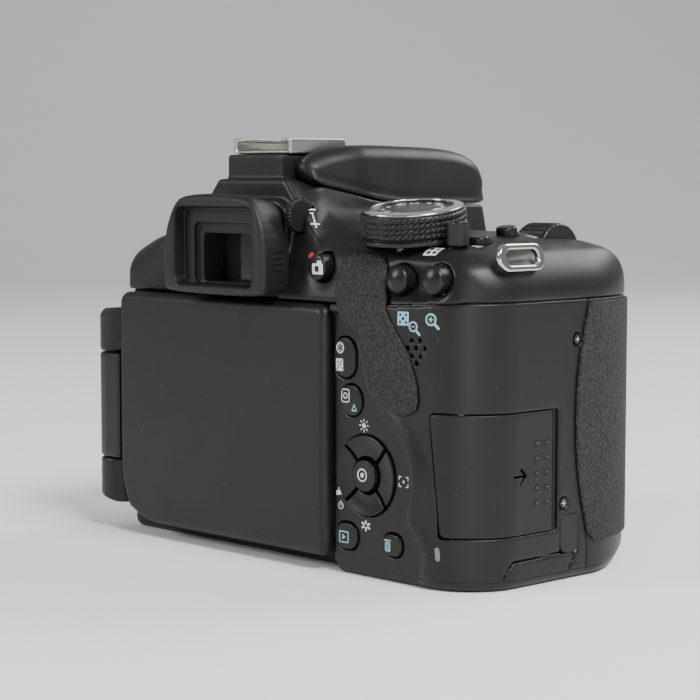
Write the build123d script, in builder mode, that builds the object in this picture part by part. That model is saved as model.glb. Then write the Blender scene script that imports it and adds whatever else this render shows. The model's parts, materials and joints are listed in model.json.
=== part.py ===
"""A single-lens reflex camera body with a side-hinged monitor, as an assembly of separate pieces.

Millimetres. +Z is up and the lens side faces -Y, so the back faces +Y and the grip is at -X.
The origin is the mouth of the tripod socket, in the base plane and under the optical axis.
"""

import math
import os

from build123d import *

os.makedirs("parts", exist_ok=True)

# ---- Driving dimensions -------------------------------------------------------------------
GRIP_SIDE = -76.4  # outer face of the grip side
HINGE_SIDE = 50.0  # outer face of the opposite side
BACK = 29.5  # control panel on the back
RECESS = 24.0  # floor of the monitor's recess on the back
FRONT = -21.0  # front face beside the lens mount
GRIP_FRONT = -40.8  # tip of the grip
GRIP_MIDDLE = -55.0
GRIP_INNER = -47.0  # face of the grip beside the lens mount
BASE_SEAM = 2.2  # joint plane between the bottom cover and the covers above
SEAM = 62.0  # joint plane between the top cover and the covers below
SPLIT = -8.5  # joint plane between the rear cover and the front cover
WALL = 2.0
SKIN = 0.7  # rubber grip covering
GAP = 0.3  # between pieces that move past each other
FIT = 0.1  # between fixed pieces

LENS_Z = 39.0  # optical axis height
FLANGE = -30.0  # lens mount's seating face
FLANGE_TO_SENSOR = 44.0
THROAT_R = 27.0
MOUNT_R = 33.0
BOSS_R = 36.0
MOUNT_BORE_R = 29.0
LOCK_PIN_X = 30.0

MIRROR_HINGE = (1.0, 55.0)  # Y and Z of the mirror's axis
MIRROR_LENGTH = 28.0
SUB_MIRROR_AT = 12.0  # distance along the main mirror of the sub-mirror's axis

DECK_Z = 79.5  # top deck behind the shutter button
SHOULDER_Z = 77.0  # top deck on the hinge side
DIAL_AT = (-47.2, 17.6, 76.3)  # foot of the mode dial, on the sloping deck
DECK_NORMAL = (-0.061, 0.148, 0.987)
DIAL_R = 12.2
HUMP_Z = 85.6  # top of the housing under the flash
PLINTH_Z = 95.6  # foot of the accessory shoe
SHOE_Z = 99.5
SHOE_INNER = 18.6  # width of the shoe's channel
SHOE_OUTER = 20.8
SHOE_Y = (4.0, 22.0)
FLASH_AXIS = (20.0, 91.0)  # Y and Z of the flash hinge
FLASH_FRONT = -35.5
FLASH_TOP = 97.9

EYE_Z = 71.6
EYECUP_Y = (28.2, 38.0)

MONITOR_X = (-32.2, 44.6)
MONITOR_Y = (24.6, 32.0)
MONITOR_Z = (3.4, 61.4)
HINGE_X, HINGE_Y, HINGE_R = 50.6, 26.0, 5.4
KNUCKLE_Z = (8.6, 18.3, 45.8, 55.5)

CARD_DOOR_Z = (11.9, 39.0)
CARD_DOOR_FRONT = 3.4
BATTERY = (15.4, 37.1, 55.2)
BATTERY_AT = (-66.0, -31.0, 4.0)
CARD = (32.0, 2.1, 24.0)
TERMINAL_Y = (-7.4, 6.0)

# name, X, Z, width, height, corner radius, rise above the back
REAR_BUTTONS = (
    ("exposure_button", -36.5, 49.6, 7.0, 9.2, 3.4, 0.9),
    ("quick_button", -38.5, 40.0, 7.0, 7.0, 3.0, 0.9),
    ("playback_button", -36.9, 8.8, 7.4, 6.0, 2.8, 0.9),
    ("erase_button", -51.8, 8.5, 6.0, 5.0, 2.4, 0.9),
)
CROSS_AT = (-43.2, 23.3)
CROSS_R, SET_R = 9.2, 3.6

LUG = (2.4, 13.0, 6.0)
LUGS = ((-73.0, 13.2, 73.0, -1), (HINGE_SIDE - 0.4, 6.0, 66.5, 1))  # inner face's centre, side


def save(part, name):
    """Writes one finished piece."""
    part.part.label = name
    export_step(part.part, f"parts/{name}.step")


def body_plan(inset=0.0):
    """Outline of the body seen from above, drawn in from its true size by inset."""
    with BuildSketch() as plan:
        with BuildLine():
            a = Line((-33, RECESS), (-33, BACK))
            b = Line(a @ 1, (GRIP_SIDE + 15, BACK))
            c = TangentArc(b @ 1, (GRIP_SIDE, BACK - 15), tangent=(-1, 0))
            d = Line(c @ 1, (GRIP_SIDE, -16))
            e = TangentArc(d @ 1, (GRIP_MIDDLE - 2, GRIP_FRONT), tangent=(0, -1))
            f = TangentArc(e @ 1, (GRIP_INNER, GRIP_FRONT + 7.8), tangent=e % 1)
            g = Line(f @ 1, (GRIP_INNER, FRONT - 4))
            h = TangentArc(g @ 1, (GRIP_INNER + 4, FRONT), tangent=(0, 1))
            i = Line(h @ 1, (HINGE_SIDE - 7, FRONT))
            j = TangentArc(i @ 1, (HINGE_SIDE, FRONT + 7), tangent=(1, 0))
            k = Line(j @ 1, (HINGE_SIDE, RECESS - 4))
            m = TangentArc(k @ 1, (HINGE_SIDE - 4, RECESS), tangent=(0, 1))
            Line(m @ 1, a @ 0)
        make_face()
        if inset:
            offset(amount=-inset, kind=Kind.INTERSECTION)
    return plan.sketch


def raise_plan(low, high, inset=0.0, mode=Mode.ADD):
    """Adds or cuts the body's plan between two heights."""
    extrude(body_plan(inset).moved(Location((0, 0, low))), amount=high - low, dir=(0, 0, 1), mode=mode)


def span(x, y, z, mode=Mode.ADD):
    """Adds or cuts a box given by its ranges."""
    middle = [(r[0] + r[1]) / 2 for r in (x, y, z)]
    with Locations(tuple(middle)):
        Box(x[1] - x[0], y[1] - y[0], z[1] - z[0], mode=mode)


def peg(centre, radius, length, axis, mode=Mode.ADD):
    """Adds or cuts a cylinder from a point along an axis."""
    with Locations(Plane(origin=centre, z_dir=axis)):
        Cylinder(radius, length, align=(Align.CENTER, Align.CENTER, Align.MIN), mode=mode)


def pill(x, z, width, height, radius, y, depth, mode=Mode.ADD):
    """Adds or cuts a rounded rectangle on the back, reaching forward from y."""
    with BuildSketch(Plane(origin=(x, y, z), x_dir=(1, 0, 0), z_dir=(0, -1, 0))) as outline:
        RectangleRounded(width, height, radius)
    extrude(outline.sketch, amount=depth, dir=(0, -1, 0), mode=mode)


def deck_plane(x, y):
    """The sloping top deck's plane at a place seen from above."""
    nx, ny, nz = DECK_NORMAL
    z = DIAL_AT[2] - (nx * (x - DIAL_AT[0]) + ny * (y - DIAL_AT[1])) / nz
    return Plane(origin=(x, y, min(z, DECK_Z)), x_dir=(1, 0, 0.062), z_dir=DECK_NORMAL)


def raise_monitor(low, high):
    """Adds the monitor's outline between two depths; its lower corner at the hinge is the roundest."""
    with BuildSketch(Plane.XZ.offset(-low)) as outline:
        with BuildLine():
            (left, right), (foot, top) = MONITOR_X, MONITOR_Z
            Polyline((left, foot), (right, foot), (right, top), (left, top), (left, foot))
        make_face()
        fillet(outline.vertices(), 3.4)
        with Locations((right, foot)):
            Rectangle(12, 12, mode=Mode.SUBTRACT)
        with Locations((right - 6, foot + 6)):
            Circle(6)
    extrude(outline.sketch, amount=high - low, dir=(0, 1, 0))


def wedge(apex, mode=Mode.ADD):
    """A quarter-turn wedge about +X, its tip moved out by apex."""
    Polygon((apex, 0), (apex + 60, 60), (apex + 60, -60), align=None, mode=mode)


def cap_form(inset):
    """Solid form of the top cover: grip deck, far shoulder and the finder housing between them."""
    with BuildPart() as form:
        raise_plan(SEAM - (1 if inset else 0), DECK_Z - inset, inset)
        span((-20, 60), (-60, 60), (SHOULDER_Z - inset, 120), mode=Mode.SUBTRACT)
        slopes = (
            Plane(origin=DIAL_AT, z_dir=DECK_NORMAL),
            Plane(origin=(-62, 0, DECK_Z), z_dir=(-0.6, 0, 1)),
            Plane(origin=(-60, 0, DECK_Z - 0.9), z_dir=(0, -0.09, 1)),
            Plane(origin=(-60, -18, DECK_Z - 2.3), z_dir=(0, -0.5, 1)),
            Plane(origin=(36, 0, SHOULDER_Z), z_dir=(0.45, 0, 1)),
        )
        for slope in slopes:
            split(bisect_by=slope.offset(-inset), keep=Keep.BOTTOM)
        half, rise = 25.5 - inset, HUMP_Z - inset
        foot = SEAM - (1 if inset else 0)
        with BuildSketch(Plane.XZ.offset(-27 + inset)) as housing:
            Polygon(
                (-half, foot), (half, foot), (half - 5, rise - 4), (half - 8, rise),
                (8 - half, rise), (5 - half, rise - 4), align=None,
            )
        extrude(housing.sketch, amount=48 - 2 * inset, dir=(0, -1, 0))
        with BuildSketch(Plane.XZ.offset(-FRONT - 2)) as brow:
            Polygon(
                (-half + 2, 73.5 + inset), (half - 2, 73.5 + inset), (half - 5, rise - 4),
                (half - 8, rise), (8 - half, rise), (5 - half, rise - 4), align=None,
            )
        extrude(brow.sketch, amount=14 - inset, dir=(0, -1, 0))
    return form.part


# ---- Covers ---------------------------------------------------------------------------------
with BuildPart() as bottom_cover:
    raise_plan(0, BASE_SEAM - FIT)
    chamfer(bottom_cover.faces().sort_by(Axis.Z)[0].outer_wire().edges(), 0.8)
    span((-67.9, -49.2), (-34.0, 9), (-1, BASE_SEAM + 1), mode=Mode.SUBTRACT)
    peg((0, 0, 0), 11, 7, (0, 0, 1))
    peg((0, 0, -1), 6.1, 12, (0, 0, 1), mode=Mode.SUBTRACT)
save(bottom_cover, "bottom_cover")

with BuildPart() as tripod_socket:
    peg((0, 0, 0), 6.0, 8.0, (0, 0, 1))
    peg((0, 0, -1), 3.175, 8.0, (0, 0, 1), mode=Mode.SUBTRACT)
save(tripod_socket, "tripod_socket")

with BuildPart() as front_cover:
    raise_plan(BASE_SEAM, SEAM - FIT)
    peg((0, FRONT, LENS_Z), BOSS_R, FRONT - FLANGE - 3, (0, -1, 0))
    span((-90, 60), (-60, 60), (SEAM - FIT, SEAM + 20), mode=Mode.SUBTRACT)
    raise_plan(BASE_SEAM - 1, SEAM + 1, WALL, mode=Mode.SUBTRACT)
    span((-90, 60), (SPLIT, 60), (0, 90), mode=Mode.SUBTRACT)
    peg((0, FRONT + 8, LENS_Z), MOUNT_BORE_R, 30, (0, -1, 0), mode=Mode.SUBTRACT)
    peg((LOCK_PIN_X, FRONT + 4, LENS_Z), 1.5, 12, (0, -1, 0), mode=Mode.SUBTRACT)
    for x, z, r in ((42.0, LENS_Z, 5.0), (41.5, 20.0, 3.0), (38.5, 56.0, 3.2)):
        peg((x, FRONT + 8, z), r + GAP, 20, (0, -1, 0), mode=Mode.SUBTRACT)
save(front_cover, "front_cover")

with BuildPart() as rear_cover:
    raise_plan(BASE_SEAM, SEAM - FIT)
    raise_plan(BASE_SEAM - 1, SEAM + 1, WALL, mode=Mode.SUBTRACT)
    span((41, HINGE_SIDE), (14, RECESS), (BASE_SEAM, SEAM - FIT))
    with BuildSketch(Plane.XY) as side:
        add(body_plan())
    extrude(side.sketch, amount=90, dir=(0, 0, 1), mode=Mode.INTERSECT)
    span((-90, 60), (-60, SPLIT + FIT), (0, 90), mode=Mode.SUBTRACT)
    peg((HINGE_X, HINGE_Y, KNUCKLE_Z[0] - GAP), HINGE_R + GAP, 47.5, (0, 0, 1), mode=Mode.SUBTRACT)
    for name, x, z, width, height, radius, rise in REAR_BUTTONS:
        pill(x, z, width + 2 * GAP, height + 2 * GAP, radius, BACK + 1, 8, mode=Mode.SUBTRACT)
    peg((CROSS_AT[0], BACK + 1, CROSS_AT[1]), CROSS_R + GAP, 8, (0, -1, 0), mode=Mode.SUBTRACT)
    foot, head = CARD_DOOR_Z
    span((-90, -64.1), (CARD_DOOR_FRONT - GAP, 60), (foot - GAP, head + GAP), mode=Mode.SUBTRACT)
    for row in range(2):
        with Locations([Plane(origin=(-60.4, BACK + 1, 52 + 2.4 * row), z_dir=(0, -1, 0))]):
            with GridLocations(1.9, 1, 4, 1):
                Cylinder(0.5, 8, mode=Mode.SUBTRACT)
    span((HINGE_SIDE - 1.2, 60), (TERMINAL_Y[0] - 0.2, TERMINAL_Y[1] + 0.2), (11.8, 52.2), mode=Mode.SUBTRACT)
    span((-90, GRIP_SIDE + 0.9), (-5.7, 0.7), (5.9, 15.1), mode=Mode.SUBTRACT)
    for y, z in ((-0.6, 17.6), (-4.8, 54.2)):
        peg((GRIP_SIDE - 1, y, z), 1.6, 2.6, (1, 0, 0), mode=Mode.SUBTRACT)
save(rear_cover, "rear_cover")

# ---- Top cover with its openings --------------------------------------------------------------
DISPLAY_AT, ISO_AT = (-62.0, 12.4), (-59.8, 0.8)
DECK_BUTTON_R = 2.4
POWER_AT = (-62.4, 19.4)
MAIN_DIAL_AT = (-60.0, -12.5)
MAIN_DIAL_R, MAIN_DIAL_W = 7.0, 9.0
MAIN_DIAL_Z = DECK_Z - 6.6
SHUTTER_PLANE = Plane(origin=(-58.0, -29.0, 71.7), z_dir=(0, -0.5, 1))
LIVE_AT, AE_AT, AF_AT = (-28.0, 69.8), (-53.2, 67.8), (-64.0, 68.1)
MENU_PLANE = Plane(origin=(38.5, 15.0, 75.7), x_dir=(1, 0, -0.45), z_dir=(0.45, 0, 1))
INFO_PLANE = Plane(origin=(46.3, 15.0, 72.2), x_dir=(1, 0, -0.45), z_dir=(0.45, 0, 1))

with BuildPart() as top_cover:
    add(cap_form(0))
    add(cap_form(WALL), mode=Mode.SUBTRACT)
    span((-13.5, 13.5), (1.6, 24.5), (HUMP_Z - WALL, PLINTH_Z))
    span((-11.5, 11.5), (3.6, 22.5), (HUMP_Z - WALL - 1, PLINTH_Z - WALL), mode=Mode.SUBTRACT)
    with BuildSketch(Plane.XZ.offset(-EYECUP_Y[0] + FIT)) as eyepiece:
        Polygon((-16, 63), (16, 63), (16, 76), (11.5, 85), (-11.5, 85), (-16, 76), align=None)
    extrude(eyepiece.sketch, amount=4, dir=(0, -1, 0))
    pill(0, EYE_Z, 19, 13, 3, 40, 20, mode=Mode.SUBTRACT)
    for at, radius in ((DISPLAY_AT, DECK_BUTTON_R), (ISO_AT, DECK_BUTTON_R)):
        plane = deck_plane(*at)
        peg(plane.origin + plane.z_dir * -6, radius + GAP, 12, plane.z_dir, mode=Mode.SUBTRACT)
    plane = Plane(origin=DIAL_AT, z_dir=DECK_NORMAL)
    peg(plane.origin + plane.z_dir * -6, 3.0 + GAP, 12, plane.z_dir, mode=Mode.SUBTRACT)
    plane = deck_plane(*POWER_AT)
    peg(plane.origin + plane.z_dir * -6, 1.6 + GAP, 12, plane.z_dir, mode=Mode.SUBTRACT)
    peg(SHUTTER_PLANE.origin + SHUTTER_PLANE.z_dir * -6, 5.6 + GAP, 12, SHUTTER_PLANE.z_dir, mode=Mode.SUBTRACT)
    x, y = MAIN_DIAL_AT
    half = MAIN_DIAL_W / 2 + GAP
    reach = MAIN_DIAL_R + GAP
    span((x - half, x + half), (y - reach, y + reach), (MAIN_DIAL_Z, 90), mode=Mode.SUBTRACT)
    peg((x - half, y, MAIN_DIAL_Z), reach, 2 * half, (1, 0, 0), mode=Mode.SUBTRACT)
    peg((-20.5, 26.0, 81.4), 4.5, 4.1, (1, 0, 0), mode=Mode.SUBTRACT)
    for (x, z), radius in ((LIVE_AT, 3.0), (AE_AT, 3.2), (AF_AT, 3.2)):
        peg((x, 40, z), radius + GAP, 20, (0, -1, 0), mode=Mode.SUBTRACT)
    for plane in (MENU_PLANE, INFO_PLANE):
        with BuildSketch(plane.offset(2)) as slot:
            RectangleRounded(6.6 + 2 * GAP, 3.4 + 2 * GAP, 1.5)
        extrude(slot.sketch, amount=-8, mode=Mode.SUBTRACT)
    for x, y, z, side in LUGS:
        with Locations((x + 6 * side, y, z)):
            Box(12, LUG[1] + 2 * FIT, LUG[2] + 2 * FIT, mode=Mode.SUBTRACT)
save(top_cover, "top_cover")

# ---- Rubber coverings ------------------------------------------------------------------------
with BuildPart() as grip_rubber:
    raise_plan(9, 61, -SKIN - FIT)
    raise_plan(8, 62, -FIT, mode=Mode.SUBTRACT)
    span((-44, 80), (-60, 60), (0, 90), mode=Mode.SUBTRACT)
    span((-90, 60), (-6.6, 60), (0, 90), mode=Mode.SUBTRACT)
    span((-90, 60), (-10.5, 60), (0, 14), mode=Mode.SUBTRACT)
save(grip_rubber, "grip_rubber")

with BuildPart() as thumb_rest_rubber:
    with BuildSketch(Plane.XZ.offset(-BACK - FIT)) as pad:
        with BuildLine():
            Polyline((-47.2, 71.0), (-34.6, 71.6), (-33.6, 64.8), (-36.6, 58.6))
            Polyline((-36.6, 58.6), (-42.6, 55.9), (-45.2, 51.5), (-46.6, 45.6), (-48.0, 39.5), (-51.0, 37.6))
            Polyline((-51.0, 37.6), (-58.0, 38.4), (-60.0, 44.6), (-57.0, 50.0))
            Polyline((-57.0, 50.0), (-54.4, 55.8), (-51.6, 60.6), (-47.2, 71.0))
        make_face()
    extrude(pad.sketch, amount=1.2, dir=(0, 1, 0))
    span((-48, -32), (BACK, 60), (61.9, 90), mode=Mode.SUBTRACT)
save(thumb_rest_rubber, "thumb_rest_rubber")

# ---- Lens mount ------------------------------------------------------------------------------
MOUNT_SCREWS = [Plane(origin=(30 * math.cos(a), FLANGE, LENS_Z + 30 * math.sin(a)), z_dir=(0, -1, 0))
                for a in [math.radians(d) for d in (45, 135, 225, 315)]]
with BuildPart() as lens_mount_ring:
    peg((0, FLANGE + 3, LENS_Z), MOUNT_R, 3, (0, -1, 0))
    peg((0, FLANGE + 6, LENS_Z), MOUNT_BORE_R - FIT, 3.2, (0, -1, 0))
    peg((0, FLANGE + 8, LENS_Z), THROAT_R, 12, (0, -1, 0), mode=Mode.SUBTRACT)
    peg((LOCK_PIN_X, FLANGE + 8, LENS_Z), 1.5, 12, (0, -1, 0), mode=Mode.SUBTRACT)
    for plane in MOUNT_SCREWS:
        peg(plane.origin + plane.z_dir * -3.5, 1.3, 6, plane.z_dir, mode=Mode.SUBTRACT)
save(lens_mount_ring, "lens_mount_ring")

with BuildPart() as lens_lock_pin:
    peg((LOCK_PIN_X, FLANGE - 1.6, LENS_Z), 1.2, 9.5, (0, 1, 0))
save(lens_lock_pin, "lens_lock_pin")

FRONT_BUTTONS = (
    ("lens_release_button", 42.0, LENS_Z, 5.0, 3.2),
    ("depth_preview_button", 41.5, 20.0, 3.0, 1.6),
    ("flash_button", 38.5, 56.0, 3.2, 1.4),
)
for name, x, z, radius, rise in FRONT_BUTTONS:
    with BuildPart() as front_button:
        peg((x, FRONT + 3, z), radius, 3 + rise, (0, -1, 0))
        fillet(front_button.faces().sort_by(Axis.Y)[0].edges(), 0.5)
        peg((x, FRONT + 3.1, z), radius - 1, 2, (0, -1, 0), mode=Mode.SUBTRACT)
    save(front_button, name)

# ---- Light path --------------------------------------------------------------------------------
HINGE_AT_Y, HINGE_AT_Z = MIRROR_HINGE
with BuildPart() as mirror_box:
    span((-19.5, 19.5), (-24, 3.2), (21.5, 57))
    span((-16, 16), (-30, 1.5), (24, 60), mode=Mode.SUBTRACT)
    span((-13, 13), (0, 8), (30, 48), mode=Mode.SUBTRACT)
    peg((-21, HINGE_AT_Y - 0.4, HINGE_AT_Z), 1.1, 42, (1, 0, 0), mode=Mode.SUBTRACT)
save(mirror_box, "mirror_box")

MIRROR_PLANE = Plane(origin=(0, HINGE_AT_Y - 0.4, HINGE_AT_Z), x_dir=(1, 0, 0), z_dir=(0, -1, 1))
with BuildPart() as main_mirror:
    with BuildSketch(MIRROR_PLANE.offset(-0.8)) as plate:
        with Locations((0, -MIRROR_LENGTH / 2 - 0.6)):
            Rectangle(26, MIRROR_LENGTH)
    extrude(plate.sketch, amount=1.6, dir=MIRROR_PLANE.z_dir)
    peg((-18.5, HINGE_AT_Y - 0.4, HINGE_AT_Z), 0.8, 37, (1, 0, 0))
save(main_mirror, "main_mirror")

down = Vector(0, -1, -1).normalized()
SUB_AXIS = MIRROR_PLANE.origin + down * SUB_MIRROR_AT - MIRROR_PLANE.z_dir * 1.8
SUB_PLANE = Plane(origin=SUB_AXIS, x_dir=(1, 0, 0), z_dir=(0, -1, -1))
with BuildPart() as sub_mirror:
    with BuildSketch(SUB_PLANE) as plate:
        with Locations((0, -5.5)):
            Rectangle(15, 10)
    extrude(plate.sketch, amount=0.8, both=False)
    peg(SUB_AXIS - Vector(7.5, 0, 0), 0.6, 15, (1, 0, 0))
save(sub_mirror, "sub_mirror")

with BuildPart() as focusing_screen:
    span((-15.5, 15.5), (-21, -1), (57.1, 58.3))
save(focusing_screen, "focusing_screen")

with BuildPart() as pentamirror:
    with BuildSketch(Plane.YZ.offset(-15)) as side:
        Polygon((-18.6, 58.5), (12, 58.5), (12, 78), (2, 82.5), (-8, 82.5), (-18.6, 70), align=None)
        offset(side.sketch, amount=-1.5, kind=Kind.INTERSECTION, mode=Mode.SUBTRACT)
    extrude(side.sketch, amount=30, dir=(1, 0, 0))
    span((-13, 13), (-18, -3), (50, 62), mode=Mode.SUBTRACT)
    span((-9, 9), (8, 20), (66, 76.4), mode=Mode.SUBTRACT)
save(pentamirror, "pentamirror")

SENSOR_Y = FLANGE + FLANGE_TO_SENSOR
with BuildPart() as shutter_unit:
    span((-26, 26), (4, 9.5), (18, 58))
    span((-12.5, 12.5), (3, 11), (31, 47), mode=Mode.SUBTRACT)
    span((-12.9, 12.9), (6.2, 6.8), (30, 48))
save(shutter_unit, "shutter_unit")

with BuildPart() as image_sensor:
    span((-15, 15), (SENSOR_Y + 0.6, SENSOR_Y + 2.6), (27, 51))
    span((-11.8, 11.8), (SENSOR_Y - 1.2, SENSOR_Y + 1), (LENS_Z - 8, LENS_Z + 8))
save(image_sensor, "image_sensor")

with BuildPart() as main_board:
    span((-38, 38), (18, 19.6), (9, 58))
    span((-22, -6), (19.6, 21), (20, 36))
    span((6, 20), (19.6, 20.8), (34, 46))
save(main_board, "main_board")

# ---- Power and memory ---------------------------------------------------------------------------
x, y, z = BATTERY_AT
with BuildPart() as battery:
    span((x, x + BATTERY[0]), (y, y + BATTERY[1]), (z, z + BATTERY[2]))
    fillet(battery.edges().filter_by(Axis.Z), 2.0)
save(battery, "battery")

DOOR_X, DOOR_Y = (-67.6, -49.5), (-33.1, 8.7)
with BuildPart() as battery_door:
    span(DOOR_X, DOOR_Y, (0, WALL))
    fillet(battery_door.edges().filter_by(Axis.Z), 1.0)
    span((-62, -54), (3.3, 9), (-1, WALL - 0.8), mode=Mode.SUBTRACT)
    peg((DOOR_X[0] + 3, DOOR_Y[0] + 1.2, 1.2), 1.2, 13.8, (1, 0, 0))
save(battery_door, "battery_door")

with BuildPart() as battery_latch:
    span((-61.6, -54.4), (5.1, 7.5), (0.1, 1.0))
save(battery_latch, "battery_latch")

with BuildPart() as memory_card:
    span((-73, -73 + CARD[0]), (17, 17 + CARD[1]), (13, 13 + CARD[2]))
save(memory_card, "memory_card")

with BuildPart() as card_door:
    raise_plan(CARD_DOOR_Z[0], CARD_DOOR_Z[1])
    raise_plan(CARD_DOOR_Z[0], CARD_DOOR_Z[1], WALL, mode=Mode.SUBTRACT)
    span((-64.5, 60), (-60, 60), (0, 90), mode=Mode.SUBTRACT)
    span((-90, 60), (-60, CARD_DOOR_FRONT), (0, 90), mode=Mode.SUBTRACT)
save(card_door, "card_door")

with BuildPart() as card_hinge:
    peg((-66.5, BACK - 4.5, CARD_DOOR_Z[0] - 0.1), 1.2, CARD_DOOR_Z[1] - CARD_DOOR_Z[0] + 0.2, (0, 0, 1))
save(card_hinge, "card_hinge")

with BuildPart() as dc_cord_flap:
    span((GRIP_SIDE, GRIP_SIDE + 0.8), (-5.5, 0.5), (6.1, 14.9))
    fillet(dc_cord_flap.edges().filter_by(Axis.X).group_by(Axis.Z)[0], 2.4)
save(dc_cord_flap, "dc_cord_flap")

with BuildPart() as terminal_cover:
    span((HINGE_SIDE - 1.1, HINGE_SIDE + 0.3), TERMINAL_Y, (12, 52))
    fillet(terminal_cover.edges().filter_by(Axis.X), 2.0)
save(terminal_cover, "terminal_cover")

# ---- Accessory shoe, flash and finder ------------------------------------------------------------
inner, outer = SHOE_INNER / 2, SHOE_OUTER / 2
with BuildPart() as hot_shoe_rails:
    span((-outer, outer), SHOE_Y, (PLINTH_Z + FIT, SHOE_Z))
    span((-inner, inner), (SHOE_Y[0] + 1, 30), (PLINTH_Z + 1, PLINTH_Z + 3.1), mode=Mode.SUBTRACT)
    span((-6.5, 6.5), (SHOE_Y[0] - 1, 30), (PLINTH_Z + 3, 110), mode=Mode.SUBTRACT)
save(hot_shoe_rails, "hot_shoe_rails")

axis_y, axis_z = FLASH_AXIS
ARM_IN, ARM_OUT = 14.2, 19.6
with BuildPart() as flash_housing:
    with BuildSketch(Plane.YZ.offset(-ARM_OUT)) as head:
        Polygon(
            (0.8, HUMP_Z + 0.5), (0.8, FLASH_TOP), (-22, FLASH_TOP), (-31.5, 96), (FLASH_FRONT, 92.6),
            (FLASH_FRONT - 0.8, 89), (FLASH_FRONT + 2, HUMP_Z + 0.5), align=None,
        )
    extrude(head.sketch, amount=2 * ARM_OUT, dir=(1, 0, 0))
    span((-17, 17), (-33, -1.5), (HUMP_Z - 1, 95.5), mode=Mode.SUBTRACT)
    for x in (-ARM_OUT, ARM_IN):
        with BuildSketch(Plane.YZ.offset(x)) as arm:
            Polygon((-2, HUMP_Z + 0.7), (-2, FLASH_TOP), (8, FLASH_TOP), (axis_y - 2, 95.6), (axis_y - 2, HUMP_Z + 0.7), align=None)
            with Locations((axis_y, axis_z)):
                Circle(4.7)
        extrude(arm.sketch, amount=ARM_OUT - ARM_IN, dir=(1, 0, 0))
save(flash_housing, "flash_housing")

with BuildPart() as eyepiece_lens:
    pill(0, EYE_Z, 18.6, 12.6, 2.8, EYECUP_Y[0] - 1.2, 3)
save(eyepiece_lens, "eyepiece_lens")

with BuildPart() as eyecup:
    with BuildSketch(Plane.XZ.offset(-EYECUP_Y[0])) as cup:
        Polygon((-17.6, 63.2), (17.6, 63.2), (18, 76), (12, 86.2), (-12, 86.2), (-18, 76), align=None)
        fillet(cup.vertices(), 2.5)
    extrude(cup.sketch, amount=EYECUP_Y[1] - EYECUP_Y[0], dir=(0, 1, 0))
    pill(0, EYE_Z, 19, 13, 3, 60, 40, mode=Mode.SUBTRACT)
save(eyecup, "eyecup")

with BuildPart() as diopter_knob:
    peg((-20.2, 26.0, 81.4), 4.2, 3.5, (1, 0, 0))
save(diopter_knob, "diopter_knob")

# ---- Controls on top -----------------------------------------------------------------------------
with BuildPart() as shutter_button:
    plane = SHUTTER_PLANE
    peg(plane.origin + plane.z_dir * -3, 5.6, 4.6, plane.z_dir)
    fillet(shutter_button.edges().filter_by(GeomType.CIRCLE).sort_by(Axis.Z)[-1], 1.2)
save(shutter_button, "shutter_button")

x, y = MAIN_DIAL_AT
with BuildPart() as main_dial:
    plane = Plane(origin=(x - MAIN_DIAL_W / 2, y, MAIN_DIAL_Z), z_dir=(1, 0, 0))
    peg(plane.origin, MAIN_DIAL_R, MAIN_DIAL_W, plane.z_dir)
    with Locations(plane):
        with PolarLocations(MAIN_DIAL_R + 0.15, 30):
            Cylinder(0.4, MAIN_DIAL_W + 1, align=(Align.CENTER, Align.CENTER, Align.MIN), mode=Mode.SUBTRACT)
        Cylinder(1.2, MAIN_DIAL_W, align=(Align.CENTER, Align.CENTER, Align.MIN), mode=Mode.SUBTRACT)
save(main_dial, "main_dial")

with BuildPart() as mode_dial:
    plane = Plane(origin=DIAL_AT, z_dir=DECK_NORMAL)
    peg(plane.origin + plane.z_dir * -4.5, 3.0, 5, plane.z_dir)
    peg(plane.origin + plane.z_dir * GAP, DIAL_R + 0.2, 1.4, plane.z_dir)
    peg(plane.origin + plane.z_dir * (GAP + 1.4), DIAL_R, 7.0, plane.z_dir)
    chamfer(mode_dial.faces().sort_by(Axis.Z)[-1].edges(), 0.6)
save(mode_dial, "mode_dial")

plane = deck_plane(*POWER_AT)
with BuildPart() as power_switch:
    peg(plane.origin + plane.z_dir * -4.5, 1.6, 5.5, plane.z_dir)
    with BuildSketch(plane.offset(GAP)) as lever:
        SlotCenterToCenter(1.2, 4.2)
    extrude(lever.sketch, amount=6.4, dir=plane.z_dir)
save(power_switch, "power_switch")

for name, at in (("display_button", DISPLAY_AT), ("iso_button", ISO_AT)):
    plane = deck_plane(*at)
    with BuildPart() as deck_button:
        peg(plane.origin + plane.z_dir * -3.5, DECK_BUTTON_R, 4.7, plane.z_dir)
        fillet(deck_button.edges().filter_by(GeomType.CIRCLE).sort_by(Axis.Z)[-1], 0.6)
    save(deck_button, name)

for name, plane in (("menu_button", MENU_PLANE), ("info_button", INFO_PLANE)):
    with BuildPart() as shoulder_button:
        with BuildSketch(plane.offset(-3.5)) as slot:
            RectangleRounded(6.6, 3.4, 1.5)
        extrude(slot.sketch, amount=4.4, dir=plane.z_dir)
    save(shoulder_button, name)

# ---- Controls on the back --------------------------------------------------------------------------
for name, (x, z), radius in (
    ("live_view_button", LIVE_AT, 3.0), ("ae_lock_button", AE_AT, 3.2), ("af_point_button", AF_AT, 3.2)
):
    with BuildPart() as dome_button:
        with Locations((x, BACK - 3.6, z)):
            Sphere(radius + 1.6)
        with BuildSketch(Plane.XZ.offset(-BACK + 5)) as stem:
            with Locations((x, z)):
                Circle(radius)
        extrude(stem.sketch, amount=12, dir=(0, 1, 0), mode=Mode.INTERSECT)
    save(dome_button, name)

for name, x, z, width, height, radius, rise in REAR_BUTTONS:
    with BuildPart() as rear_button:
        pill(x, z, width, height, radius, BACK + rise, 5 + rise)
        fillet(rear_button.faces().sort_by(Axis.Y)[-1].edges(), 0.5)
    save(rear_button, name)

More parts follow.
